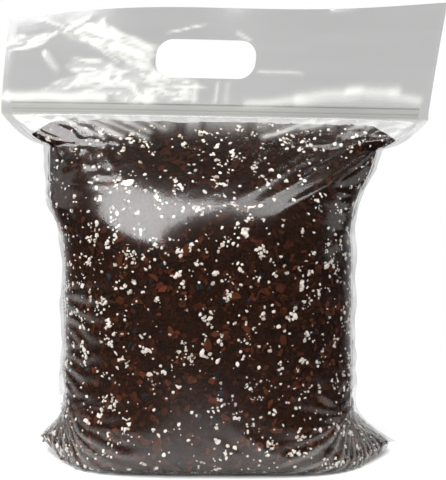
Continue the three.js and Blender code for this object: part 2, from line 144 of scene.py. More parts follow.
@dataclass(frozen=True)
class BagSizes:
    """The part's driving sizes, in mm, with a few of the scene's own.

    The scene's own are header_settled, how much of its lean the header's left top corner has lost;
    shoulder_share and ear_share, how much of the part's pleats is kept under the film's finer
    folds; and headroom, which is smaller than the part's, because the loose top of the fill heaps
    nearer to the zip. The hole's middle is across from the film's middle and up from the zip's.
    """

    film: float = 0.1
    weld: float = 4.0
    fin: float = 6.5
    lay_half_gap: float = 0.35
    body_width: float = 234.0
    body_depth: float = 180.0
    base_radius: float = 22.0
    wall_height: float = 178.0
    squareness: float = 2.4
    base_squareness: float = 4.6
    body_middle: float = -12.0
    sway: float = -5.0
    sway_height: float = 208.0
    sway_reach: float = 24.0
    ear_span: float = 302.0
    ear_tip: float = 10.0
    ear_root: float = 40.0
    ear_sharpness: float = 1.7
    ear_flat: float = 0.74
    ear_rise: float = 1.8
    ear_tilt: float = 3.0
    ear_tilt_top: float = 90.0
    ear_fullness: float = 1.7
    ear_shift: float = 6.0
    neck_width: float = 264.0
    neck_drop: float = 29.5
    shoulder_reach: float = 46.0
    shoulder_angle: float = 0.85
    flare: float = 0.6
    zip_height: float = 281.5
    zip_band: float = 10.0
    zip_half_gap: float = 1.8
    zip_middle: float = -6.5
    zip_bow: float = 7.0
    zip_tilt: float = 3.0
    header_width: float = 344.0
    header_top_width: float = 350.0
    header_height: float = 82.0
    header_half_gap: float = 0.6
    header_middle: float = 2.0
    header_tilt: float = 4.5
    header_wave: float = 3.5
    header_lean: float = 7.0
    header_twist: float = 21.0
    header_curl: float = 1.3
    header_ripple: float = 2.2
    header_ripple_length: float = 130.0
    header_settled: float = 0.36
    crimp: float = 3.0
    crimps: int = 8
    pleat: float = 3.6
    pleat_fans: int = 13
    shoulder_pleats: float = 150.0
    ear_pleats: float = 80.0
    shoulder_share: float = 0.5
    ear_share: float = 0.35
    headroom: float = 9.0
    hole_middle: tuple[float, float] = (-11.5, 40.5)
    hole_half: tuple[float, float] = (40.0, 15.5)
    hole_radius: float = 13.0

    @property
    def zip_foot(self) -> float:
        """Height of the zip band's lower edge."""
        return self.zip_height - self.zip_band / 2


class BagShape:
    """The filled bag as the part has it: a point for each place on the flat film.

    A place is (s, t): s runs across the flat film from the middle, and t up it from the bottom
    fold, both in mm.
    """

    def __init__(self, sizes: BagSizes) -> None:
        """Works out the film's length up the middle, and the sheet's flat size from it.

        Args:
            sizes: The bag's sizes.
        """
        self.sizes = sizes
        self.profile = self._middle_profile()
        steps = np.linalg.norm(np.diff(self.profile, axis=0), axis=1)
        self.lengths = np.concatenate([[0.0], np.cumsum(steps)])
        self.pouch = float(self.lengths[-1])
        self.height = self.pouch + sizes.zip_band / 2 + sizes.header_height
        self.half_flat = sizes.header_width / 2

    def _middle_profile(self) -> np.ndarray:
        """Depth and height up the middle of the front, from the fold to the zip.

        Along the floor, round the base as a quarter circle, up the wall, and back over the
        shoulder as a cubic curve.

        Returns:
            Rows of depth and height, in mm.
        """
        z = self.sizes
        half = z.body_depth / 2
        flat = half - z.base_radius
        turn = np.linspace(-math.pi / 2, 0, 160)
        arc = np.stack(
            [flat + z.base_radius * np.cos(turn), z.base_radius * (1 + np.sin(turn))], 1
        )
        ends = np.array(
            [
                [half, z.wall_height],
                [half, z.wall_height + z.shoulder_reach],
                [
                    z.shoulder_reach,
                    z.zip_foot - z.shoulder_reach * z.shoulder_angle,
                ],
                [z.zip_half_gap, z.zip_foot],
            ]
        )
        part = np.linspace(0, 1, 900)[:, None]
        curve = (
            (1 - part) ** 3 * ends[0]
            + 3 * (1 - part) ** 2 * part * ends[1]
            + 3 * (1 - part) * part**2 * ends[2]
            + part**3 * ends[3]
        )
        return np.concatenate([[[0.0, 0.0]], arc, curve])

    def middle(self, height: np.ndarray) -> np.ndarray:
        """X of the bag's middle: a lean that grows towards the top, a bell of sway, and a shift.

        Args:
            height: Heights above the floor, in mm.

        Returns:
            X at each height, in mm.
        """
        z = self.sizes
        to_zip = smoothstep(height, z.wall_height, z.zip_height)
        to_top = clamp((height - z.zip_height) / z.header_height)
        sway = z.sway * np.exp(-(((height - z.sway_height) / z.sway_reach) ** 2))
        foot = z.ear_shift * (1 - smoothstep(height, 0, z.ear_root))
        lean = lerp(lerp(z.body_middle, z.zip_middle, to_zip), z.header_middle, to_top)
        return lean + sway + foot

    def half_width(self, height: np.ndarray) -> np.ndarray:
        """Half of the film's width: the body's, plus ear, neck, flare and header in their zones.

        Args:
            height: Heights of the film's side edge, in mm.

        Returns:
            Half widths, in mm.
        """
        z = self.sizes
        ear = clamp((z.ear_root - height) / (z.ear_root - z.ear_tip))
        neck_height = z.zip_height - z.neck_drop
        neck = smoothstep(height, z.wall_height, neck_height)
        flare = clamp((height - neck_height) / (z.zip_foot - neck_height))
        top = clamp((height - z.zip_height) / z.header_height)
        body = z.body_width / 2 + z.fin
        return (
            body
            + (z.ear_span / 2 - body) * ear**z.ear_sharpness
            + (z.neck_width - z.body_width) / 2 * neck
            + ((z.header_width - z.neck_width) / 2 - z.fin) * flare**z.flare
            + (z.header_top_width - z.header_width) / 2 * top
        )

    def drape(self, points: np.ndarray) -> np.ndarray:
        """Leans, bows and crimps the upright bag, as the part does, and sets it on the floor.

        The side edges get a sine of the height, the zip a cosine bow, and the header a lean that
        twists along it, a ripple and a wave. A tilt lifts one end of each level and lowers the
        other.

        Args:
            points: Points of the upright bag, with a last axis of 3, in mm.

        Returns:
            The moved points, of the same shape.
        """
        z = self.sizes
        x, y, h = points[..., 0], points[..., 1], points[..., 2]
        edge = clamp(np.abs(x) / self.half_width(h))
        above = clamp((h - z.zip_height) / z.header_height)
        to_zip = smoothstep(h, z.wall_height, z.zip_height)
        wave = np.sin(2 * np.pi * z.crimps * h / z.zip_height + np.sign(x))
        crimp = z.crimp * edge**6 * wave * (1 - to_zip)
        bow = z.zip_bow * to_zip * np.cos(np.pi * x / z.header_width)
        level = x / (z.header_width / 2)
        lean = (z.header_lean - z.header_twist * level) * above**z.header_curl
        settled = lean * (1 - z.header_settled * smoothstep(-level, 0.0, 0.9))
        ripple = (
            z.header_ripple
            * above
            * np.sin(2 * np.pi * x / z.header_ripple_length + 2 * above)
        )
        tilt = (
            z.header_tilt * above
            - z.zip_tilt * to_zip * (1 - above)
            - z.ear_tilt
            * smoothstep(h, 0, z.ear_tip)
            * (1 - smoothstep(h, 2 * z.ear_tip, z.ear_tilt_top))
        )
        rise = tilt * level - z.header_wave * above * np.sin(np.pi * level)
        return np.stack(
            [
                x + self.middle(h),
                y + crimp + bow + settled + ripple,
                h + rise - lean**2 / (2 * z.header_height),
            ],
            axis=-1,
        )

    def _pleats(self, points: np.ndarray, t: np.ndarray) -> np.ndarray:
        """How far the film stands out in pleats, which fan from the zip's ends and the ears' roots.

        In a fan the height is a raised cosine of the angle round its root, faded in and out with
        the distance from the root, and at the top and bottom of the fan's own zone. The part's
        pleats are only kept in part here, because the film's own finer folds come on top.

        Args:
            points: Points of the upright bag's half, rows by columns by 3.
            t: Places up the film, one a row.

        Returns:
            Heights of the pleats, rows by columns, in mm.
        """
        z = self.sizes
        x, h = np.abs(points[..., 0]), points[..., 2]
        fans = (
            (z.header_width / 2, z.zip_foot, z.shoulder_pleats, z.wall_height, z.zip_foot),
            (z.body_width / 2, z.ear_root, z.ear_pleats, 3.0, z.wall_height / 2),
        )
        shares = (z.shoulder_share, z.ear_share)
        total = np.zeros(x.shape)
        for (root_x, root_h, reach, low, high), share in zip(fans, shares):
            inward, down = root_x - x, np.abs(root_h - h)
            far = np.hypot(inward, down)
            zone = smoothstep(h, low, low + 12) * (1 - smoothstep(h, high - 12, high))
            fade = smoothstep(far, 0.12 * reach, 0.4 * reach) * (
                1 - smoothstep(far, 0.5 * reach, reach)
            )
            wave = 0.5 + 0.5 * np.cos(z.pleat_fans * np.arctan2(down, inward))
            total += share * z.pleat * fade * zone * wave
        share = clamp(1.04 * t / self.pouch)
        return total * (np.sin(np.pi * share) ** 0.5 * (t < self.pouch))[:, None]

    def _rows(self, t: np.ndarray) -> tuple[np.ndarray, ...]:
        """What the section is at each place up the film.

        Args:
            t: Places up the film, one a row.

        Returns:
            Depth, height, height at the side edge, half gap and squareness.
        """
        z = self.sizes
        share = clamp(t / self.pouch)
        above = np.maximum(t - self.pouch, 0)
        depth = np.interp(t, self.lengths, self.profile[:, 0])
        height = np.interp(t, self.lengths, self.profile[:, 1]) + above
        gap = lerp(z.lay_half_gap, z.zip_half_gap, smoothstep(share, 0.9, 1))
        opening = smoothstep(above, z.zip_band, z.zip_band + 6)
        gap = lerp(gap, z.header_half_gap, opening)
        depth = np.where(above > 0, gap, depth)
        climb = lerp(share**z.ear_fullness, share, smoothstep(share, 0.2, 0.8))
        side = np.where(above > 0, height, lerp(z.ear_tip, z.zip_foot, climb))
        square = lerp(z.base_squareness, z.squareness, smoothstep(share, 0.05, 0.4))
        return depth, height, side, np.minimum(gap, depth), square

    def _section(self, t: np.ndarray, angle: np.ndarray) -> np.ndarray:
        """The filled section: a superellipse quarter whose sides rise to the edge.

        Across it goes with the sine, and out with the cosine, each raised to two over the
        squareness.

        Args:
            t: Places up the film, one a row.
            angle: Angles from the middle to the side edge, one a column.

        Returns:
            Points as rows, columns and 3, in mm.
        """
        z = self.sizes
        depth, height, side, gap, square = (row[..., None] for row in self._rows(t))
        power = 2 / square
        sine = np.sin(angle)
        cosine = np.where(angle < math.pi / 2, np.cos(angle), 0)
        across = sine**power
        out = np.maximum(cosine, 0) ** power
        rise = clamp((sine - z.ear_flat) / (1 - z.ear_flat)) ** z.ear_rise
        filled = self.half_width(side) - z.fin
        return np.stack(
            [
                filled * across,
                gap + np.maximum(depth - gap, 0) * out,
                lerp(height, side, rise),
            ],
            axis=-1,
        )

    def surface(self, s: np.ndarray, t: np.ndarray, side: Side) -> np.ndarray:
        """The film's outer face over a grid of places.

        Across each row the filled part of the section is divided by its length, and the fin beyond
        it keeps its own width. Where a row is shorter than the flat film, its middle keeps the
        flat film's spacing, and the spare length is left towards both ends.

        Args:
            s: Places across the flat film, one a column.
            t: Places up it, one a row.
            side: Which film.

        Returns:
            Points as rows, columns and 3, in mm.
        """
        z = self.sizes
        angle = np.linspace(0, math.pi / 2, 360)[None, :]
        curve = self._section(t, angle)
        steps = np.linalg.norm(np.diff(curve, axis=1), axis=-1)
        length = np.concatenate([np.zeros((len(t), 1)), np.cumsum(steps, 1)], 1)
        inner = self.half_flat - z.fin
        share = clamp(np.abs(s) / inner)[None, :]
        spare = np.clip(inner / length[:, -1:], 1.0, 1.3) - 1
        target = length[:, -1:] * (share * (1 + spare) - spare * share**4)
        place = (length[:, :, None] <= target[:, None, :]).sum(1) - 1
        place = np.clip(place, 0, angle.shape[1] - 2)
        rows = np.arange(len(t))[:, None]
        low, high = length[rows, place], length[rows, place + 1]
        part = clamp((target - low) / np.maximum(high - low, 1e-9))[..., None]
        points = lerp(curve[rows, place], curve[rows, place + 1], part)
        fin = np.maximum(np.abs(s) - inner, 0)[None, :]
        out = grid_normals(points, Side.BACK) * np.where(s < 0, -1, 1)[None, :, None]
        pleats = self._pleats(points, t)
        points[..., :2] += out[..., :2] * pleats[..., None]
        points[..., 0] += fin
        flat_fin = np.minimum(z.film * 1.5, points[..., 1])
        points[..., 1] = lerp(points[..., 1], flat_fin, clamp(fin / z.fin))
        points[..., 0] *= np.sign(s)[None, :]
        points[..., 1] *= side.value
        return self.drape(points)


def grid_normals(grid: np.ndarray, side: Side) -> np.ndarray:
    """Outward normals of a grid of points: the cross product of its two slopes.

    Args:
        grid: Rows, columns and 3.
        side: Which film, for the sense.

    Returns:
        Unit vectors of the same shape.
    """
    up = np.gradient(grid, axis=0)
    across = np.gradient(grid, axis=1)
    return unit(np.cross(up, across)) * side.value


class FilmMark:
    """A mark left in the film. Places are (s, up): up is mm of film above the zip's middle."""

    side: Side

    def relief(self, s: np.ndarray, up: np.ndarray) -> tuple[np.ndarray, np.ndarray]:
        """The mark's form over the film.

        Args:
            s: Places across the film, in mm.
            up: Places up it, above the zip's middle.

        Returns:
            How far the film stands out, in mm, and how white it is, from 0 to 1: partly stress
            whitening, partly painted highlight.
        """
        raise NotImplementedError


@dataclass(frozen=True)
class Crease(FilmMark):
    """A ridge along a line: a narrow bell across it, faded at both ends."""

    start: tuple[float, float]
    end: tuple[float, float]
    height: float
    width: float = 2.4
    whitening_and_highlight: float = 0.5
    side: Side = Side.FRONT

    def relief(self, s: np.ndarray, up: np.ndarray) -> tuple[np.ndarray, np.ndarray]:
        """The bell times its fade along the line, and the whitening times the same: stress
        whitening with a painted highlight along the ridge.

        Args:
            s: Places across the film, in mm.
            up: Places up it, above the zip's middle.

        Returns:
            The height in mm and the whiteness.
        """
        start, end = np.array(self.start), np.array(self.end)
        line = end - start
        length = np.hypot(*line)
        along = ((s - start[0]) * line[0] + (up - start[1]) * line[1]) / length
        off = ((s - start[0]) * line[1] - (up - start[1]) * line[0]) / length
        off = off + 0.5 * np.sin(along / 6 + start[0])
        ends = min(6.0, length / 3)
        fade = smoothstep(along, 0, ends) * (1 - smoothstep(along, length - ends, length))
        bell = np.exp(-((off / self.width) ** 2)) * fade
        # Whiteness along the crease: stress whitening and a painted highlight.
        return self.height * bell, self.whitening_and_highlight * bell


@dataclass(frozen=True)
class Crumple(FilmMark):
    """A crumpled patch: an ellipse with a ragged rim, filled with sharp-edged smooth noise."""

    centre: tuple[float, float]
    half: tuple[float, float]
    turn: float
    height: float
    whitening_and_highlight: float
    cell: float = 9.0
    seed: int = 1
    side: Side = Side.FRONT

    def relief(self, s: np.ndarray, up: np.ndarray) -> tuple[np.ndarray, np.ndarray]:
        """The noise's folded height inside the ellipse, whiter where it is high: milky crumpled
        film, with painted highlight on its high facets.

        Args:
            s: Places across the film, in mm.
            up: Places up it, above the zip's middle.

        Returns:
            The height in mm and the whiteness.
        """
        turn = math.radians(self.turn)
        x, y = s - self.centre[0], up - self.centre[1]
        along = (x * math.cos(turn) + y * math.sin(turn)) / self.half[0]
        across = (y * math.cos(turn) - x * math.sin(turn)) / self.half[1]
        place = np.stack([along * self.half[0] / 2.4, across * self.half[1], 0 * s], -1)
        noise = value_noise(place, self.cell, self.seed, 3)
        ragged = np.hypot(along, across) + 0.3 * value_noise(place, 9.0, self.seed + 5)
        inside = 1 - smoothstep(ragged, 0.7, 1.05)
        facets = 1 - 2 * np.abs(noise)
        # Painted highlight: the high facets are whiter than the rest of the crumple.
        white = self.whitening_and_highlight * inside * lerp(0.35, 1.0, smoothstep(facets, 0.0, 0.8))
        return self.height * facets * inside, white


@dataclass(frozen=True)
class FoldFan(FilmMark):
    """Folds that spread from a root: sharp ridges at even angles, faded near and far."""

    root: tuple[float, float]
    first: float
    last: float
    folds: int
    near: float
    far: float
    height: float
    whitening_and_highlight: float
    seed: int = 1
    side: Side = Side.FRONT

    def relief(self, s: np.ndarray, up: np.ndarray) -> tuple[np.ndarray, np.ndarray]:
        """A raised cosine of the angle, to the third power, with a little wander.

        Args:
            s: Places across the film, in mm.
            up: Places up it, above the zip's middle.

        Returns:
            The height in mm and the whiteness.
        """
        x, y = s - self.root[0], up - self.root[1]
        distance = np.hypot(x, y)
        middle = math.radians((self.first + self.last) / 2)
        half = math.radians(abs(self.last - self.first) / 2)
        angle = np.arctan2(y, x) - middle
        angle = (angle + np.pi) % (2 * np.pi) - np.pi
        place = np.stack([s, up, 0 * s], -1)
        wander = 0.3 * value_noise(place, 24.0, self.seed)
        turns = (angle / (2 * half) + 0.5) * self.folds + wander
        ridge = (0.5 + 0.5 * np.cos(2 * np.pi * turns)) ** 3
        uneven = 0.65 + 0.35 * value_noise(place, 17.0, self.seed + 9)
        fade = smoothstep(distance, 0.3 * self.near, self.near)
        fade = fade * (1 - smoothstep(distance, 0.45 * self.far, self.far))
        fade = fade * (1 - smoothstep(np.abs(angle), 0.85 * half, 1.1 * half)) * uneven
        # Whiter along the ridges: stress whitening and a painted highlight.
        return self.height * ridge * fade, self.whitening_and_highlight * ridge * fade


@dataclass
class RelaxedFilm:
    """The sheet after its spare length has gathered: it can't stretch, and the fill is solid.

    Attributes:
        shape: The part's own surface, which the fill holds out.
        spacings: Lattice spacings in mm, coarse to fine. The first sets how wide a fold is.
        rounds: How often the sheet is worked over at each spacing.
        lift: How far a fold may stand off the fill, in mm.
        gather: The most film, as a share of its place's length, that is gathered into folds.
        roundness: How far apart next neighbours stay, in distances between neighbours.
        squaring: The share of a cell's lean that is taken up each round.
        rounding: The share of a sharp fold that is taken up each round.
        pull: The share of its way back to the fill that the sheet goes each round: everywhere,
            more in the header, and more in the fins.
        bump: How high the small bumps are that the folds start from, in mm, and how wide.
        evening: How often the folds are evened at the end, which takes out lattice-sized noise.
        swells: Where the front bulges more than the part's even form: place (s, up), half sizes
            and height, each a bell that is longer downwards.
        swell_fall: How much longer a swell is below its centre than above it.
        seed: Picks the small bumps that the folds start from.
        s: Places of the lattice's columns across the flat film.
        t: Places of its rows up the flat film.
        fill: The fill's face under each place of both films.
        out: The fill's outward direction there.
        points: The relaxed film itself.
    """

    shape: BagShape
    spacings: tuple[float, ...] = (5.2, 1.95)
    rounds: tuple[int, ...] = (260, 90)
    lift: float = 6.0
    gather: float = 1.14
    roundness: float = 1.7
    squaring: float = 0.5
    rounding: float = 0.25
    pull: tuple[float, float, float] = (0.01, 0.25, 0.2)
    bump: tuple[float, float] = (0.6, 16.0)
    evening: int = 4
    swells: tuple[tuple[float, float, float, float, float], ...] = ((-24, -156, 46, 34, 6),)
    swell_fall: float = 2.6
    seed: int = 7
    s: np.ndarray = field(init=False)
    t: np.ndarray = field(init=False)
    fill: np.ndarray = field(init=False)
    out: np.ndarray = field(init=False)
    points: np.ndarray = field(init=False)

    def _set_lattice(self, spacing: float) -> None:
        """Lays a lattice over the flat film and finds the fill's face under each place.

        Args:
            spacing: The lattice's spacing in mm, before it is fitted to the film.
        """
        half = self.shape.half_flat
        columns = 2 * round(half / spacing) + 1
        rows = round(self.shape.height / spacing) + 1
        self.s = np.linspace(-half, half, columns)
        self.t = np.linspace(0, self.shape.height, rows)
        faces = [self.shape.surface(self.s, self.t, side) for side in Side]
        out = grid_normals(faces[0], Side.FRONT)
        up = self.t - self.shape.pouch - self.shape.sizes.zip_band / 2
        for centre_s, centre_up, half_s, half_up, height in self.swells:
            across = (self.s - centre_s) / half_s
            fall = np.where(up > centre_up, 1.0, self.swell_fall)
            along = (up - centre_up) / (half_up * fall)
            bell = np.exp(-(across[None, :] ** 2) - along[:, None] ** 2)
            faces[0] = faces[0] + (height * bell)[..., None] * out
        self.fill = np.stack(faces)
        self.out = np.stack(
            [grid_normals(face, side) for face, side in zip(faces, Side)]
        )

    @staticmethod
    def _finer(points: np.ndarray, shape: tuple[int, int]) -> np.ndarray:
        """A lattice of points read at more places, by straight lines between them.

        Args:
            points: Films, rows, columns and 3.
            shape: The new numbers of rows and columns.

        Returns:
            The finer lattice.
        """
        rows = np.linspace(0, points.shape[1] - 1, shape[0])
        columns = np.linspace(0, points.shape[2] - 1, shape[1])
        row = np.minimum(rows.astype(int), points.shape[1] - 2)
        column = np.minimum(columns.astype(int), points.shape[2] - 2)
        part = (rows - row)[None, :, None, None]
        up = lerp(points[:, row], points[:, row + 1], part)
        part = (columns - column)[None, None, :, None]
        return lerp(up[:, :, column], up[:, :, column + 1], part)

    @staticmethod
    def _hold(
        points: np.ndarray, axis: int, reach: int, rest: np.ndarray, give: float
    ) -> None:
        """Moves pairs along one axis towards their rest distance, even pairs and then odd.

        Each point of a pair takes half of the difference. With a reach over one, only pairs that
        are too near move, which keeps the folds round.

        Args:
            points: Films, rows, columns and 3. They are moved in place.
            axis: 1 to pair up rows, 2 to pair up columns.
            reach: How many rows or columns apart a pair is.
            rest: The pairs' rest distances.
            give: The share of the difference that is taken up.
        """
        count = points.shape[axis]
        for first in range(reach + 1):
            low = np.arange(first, count - reach, reach + 1)
            if not len(low):
                continue
            pick = [slice(None)] * 4
            other = [slice(None)] * 4
            pick[axis] = low
            other[axis] = low + reach
            apart = points[tuple(other)] - points[tuple(pick)]
            length = np.linalg.norm(apart, axis=-1, keepdims=True)
            miss = length - np.take(rest, low, axis=axis)
            if reach > 1:
                miss = np.minimum(miss, 0)
            move = 0.5 * give * miss / np.maximum(length, 1e-6) * apart
            points[tuple(pick)] += move
            points[tuple(other)] -= move

    @staticmethod
    def _square(points: np.ndarray, rest: np.ndarray, give: float) -> None:
        """Keeps the lattice's cells square, by moving each diagonal towards its rest length.

        Args:
            points: Films, rows, columns and 3. They are moved in place.
            rest: The diagonals' rest lengths.
            give: The share of the difference that is taken up.
        """
        a, b = points[:, :-1, :-1], points[:, 1:, 1:]
        c, d = points[:, :-1, 1:], points[:, 1:, :-1]
        for low, high in ((a, b), (c, d)):
            apart = high - low
            length = np.linalg.norm(apart, axis=-1, keepdims=True)
            move = 0.25 * give * (length - rest) / np.maximum(length, 1e-6) * apart
            low += move
            high -= move

    def _join(self, points: np.ndarray) -> None:
        """Joins the two films at the fold and the welds, and lays them together at the top.

        Their mean is kept, and each film takes its half of the gap that the part has there.

        Args:
            points: Films, rows, columns and 3. They are moved in place.
        """
        z = self.shape.sizes
        gap = (self.fill[1] - self.fill[0]) / 2
        mean = (points[0] + points[1]) / 2
        edge = self.shape.half_flat
        weld = smoothstep(np.abs(self.s), edge - z.fin - 3, edge - z.weld)
        top = smoothstep(self.t, self.shape.pouch - 6, self.shape.pouch)
        together = np.maximum(weld[None, :], top[:, None])[..., None]
        together[0] = 1
        points[0] = lerp(points[0], mean - gap, together[..., 0:1])
        points[1] = lerp(points[1], mean + gap, together[..., 0:1])

    def relax(self) -> None:
        """Lets the spare length gather into folds, at each spacing in turn."""
        for level, (spacing, rounds) in enumerate(zip(self.spacings, self.rounds)):
            self._set_lattice(spacing)
            if level == 0:
                high, wide = self.bump
                bumps = value_noise(self.fill, wide, self.seed)
                points = self.fill + (high + high * bumps)[..., None] * self.out
            else:
                points = self._finer(points, self.fill.shape[1:3])
            self._work(points, rounds)
        away = points - self.fill
        for _ in range(self.evening):
            away[:, 1:-1] = (away[:, :-2] + 2 * away[:, 1:-1] + away[:, 2:]) / 4
            away[:, :, 1:-1] = (away[:, :, :-2] + 2 * away[:, :, 1:-1] + away[:, :, 2:]) / 4
        self.points = self.fill + away
        LOG.info("film relaxed: %d points", points[..., 0].size)

    def _work(self, points: np.ndarray, rounds: int) -> None:
        """Works over the sheet: its lengths, its cells, the joins, the fill and the floor.

        Neighbours keep their distance, which is the flat film's where the row has room for it, and
        next neighbours stay the roundness apart, which keeps a fold from closing to an edge. A
        point inside the fill is pushed out, and one too far from it is brought back.

        Args:
            points: Films, rows, columns and 3. They are moved in place.
            rounds: How often the sheet is worked over.
        """
        flat_s, flat_t = self.s[1] - self.s[0], self.t[1] - self.t[0]
        steps_s = np.linalg.norm(np.diff(self.fill, axis=2), axis=-1, keepdims=True)
        steps_t = np.linalg.norm(np.diff(self.fill, axis=1), axis=-1, keepdims=True)
        rest_s = np.clip(flat_s, steps_s, self.gather * steps_s)
        rest_t = np.clip(flat_t, steps_t, self.gather * steps_t)
        diagonal = np.hypot(rest_s[:, :-1], rest_t[:, :, :-1])
        pouch = 1 - smoothstep(self.t, self.shape.pouch - 4, self.shape.pouch + 4)
        root = self.shape.half_flat - self.shape.sizes.fin
        fin = smoothstep(np.abs(self.s), root - 2, root + 2)
        free = (pouch[:, None] * (1 - fin[None, :]))[None, ..., None]
        steady, header, fins = self.pull
        for _ in range(rounds):
            self._hold(points, 1, 1, rest_t, 1.0)
            self._hold(points, 2, 1, rest_s, 1.0)
            self._square(points, diagonal, self.squaring)
            self._hold(points, 1, 2, self.roundness * rest_t[:, 1:], self.rounding)
            self._hold(points, 2, 2, self.roundness * rest_s[:, :, 1:], self.rounding)
            self._join(points)
            away = points - self.fill
            height = (away * self.out).sum(-1, keepdims=True)
            inside = np.clip(height, -0.1, self.lift) - height
            points += self.out * inside * free
            hold = steady + header * (1 - pouch[:, None, None]) + fins * fin[None, :, None]
            points -= hold * (points - self.fill)
            points[..., 2] = np.maximum(points[..., 2], 0.0)
        away = points - self.fill
        height = (away * self.out).sum(-1, keepdims=True)
        points += self.out * (np.clip(height, -0.05, self.lift) - height) * free

    def at(self, lattice: np.ndarray, s: np.ndarray, t: np.ndarray) -> np.ndarray:
        """Reads one side's lattice at any places, by straight lines between its points.

        Args:
            lattice: Rows, columns and 3.
            s: Places across the flat film.
            t: Places up it, of the same shape.

        Returns:
            Points, in the places' shape and 3.
        """
        row = np.clip(t / self.t[-1] * (len(self.t) - 1), 0, len(self.t) - 1.001)
        column = (s - self.s[0]) / (self.s[-1] - self.s[0]) * (len(self.s) - 1)
        column = np.clip(column, 0, len(self.s) - 1.001)
        r, c = row.astype(int), column.astype(int)
        up, across = (row - r)[..., None], (column - c)[..., None]
        return lerp(
            lerp(lattice[r, c], lattice[r, c + 1], across),
            lerp(lattice[r + 1, c], lattice[r + 1, c + 1], across),
            up,
        )


def sheet_quads(number: np.ndarray, turned: bool) -> np.ndarray:
    """The four-sided faces between the points of a grid.

    Args:
        number: The points' numbers, rows by columns.
        turned: Whether the faces point the other way.

    Returns:
        Point numbers, one row and column fewer, by 4.
    """
    quad = np.stack([number[:-1, :-1], number[:-1, 1:], number[1:, 1:], number[1:, :-1]], -1)
    return quad[..., ::-1] if turned else quad


def make_mesh(
    name: str,
    points: np.ndarray,
    faces: list[list[int]] | np.ndarray,
    smooth: bool,
    attributes: dict[str, np.ndarray] | None = None,
    uv: np.ndarray | None = None,
) -> bpy.types.Object:
    """A mesh object at the origin.

    Args:
        name: The piece's name.
        points: Its points, in mm.
        faces: Point numbers of each face: an array, or a list where their lengths differ.
        smooth: Whether it is shaded smooth.
        attributes: One number a point, by name.
        uv: Two numbers a point, in metres.

    Returns:
        The linked object.
    """
    mesh = bpy.data.meshes.new(name)
    listed = faces if isinstance(faces, list) else faces.tolist()
    mesh.from_pydata((points * MM).tolist(), [], listed)
    mesh.polygons.foreach_set("use_smooth", np.full(len(mesh.polygons), smooth))
    for key, values in (attributes or {}).items():
        layer = mesh.attributes.new(key, "FLOAT", "POINT")
        layer.data.foreach_set("value", np.ascontiguousarray(values, dtype=np.float32))
    if uv is not None:
        corner = np.empty(len(mesh.loops), dtype=np.int32)
        mesh.loops.foreach_get("vertex_index", corner)
        layer = mesh.uv_layers.new(name="flat_film")
        layer.data.foreach_set("uv", uv[corner].astype(np.float32).ravel())
    mesh.update()
    made = bpy.data.objects.new(name, mesh)
    bpy.context.scene.collection.objects.link(made)
    LOG.info("%s: %d points, %d faces", name, len(points), len(mesh.polygons))
    return made


def new_material(name: str) -> tuple[bpy.types.Material, bpy.types.NodeTree]:
    """An empty node material.

    Args:
        name: The real material's name.

    Returns:
        The material and its node tree.
    """
    material = bpy.data.materials.new(name)
    material.use_nodes = True
    material.node_tree.nodes.clear()
    return material, material.node_tree


def add_node(
    tree: bpy.types.NodeTree,
    kind: str,
    inputs: dict | None = None,
    settings: dict | None = None,
    ramp: list[tuple[float, str]] | None = None,
) -> bpy.types.Node:
    """Adds a node with its settings and links.

    Args:
        tree: The node tree.
        kind: The node's type name.
        inputs: Socket name or number to a value, or to the socket that feeds it.
        settings: The node's own settings.
        ramp: Places and hex colours, for a colour ramp.

    Returns:
        The node.
    """
    node = tree.nodes.new(kind)
    for key, value in (settings or {}).items():
        setattr(node, key, value)
    for key, value in (inputs or {}).items():
        if isinstance(value, bpy.types.NodeSocket):
            tree.links.new(value, node.inputs[key])
        else:
            node.inputs[key].default_value = value
    if ramp:
        elements = node.color_ramp.elements
        while len(elements) < len(ramp):
            elements.new(0.5)
        for element, (place, code) in zip(elements, ramp):
            element.position = place
            element.color = linear_colour(code)
    return node


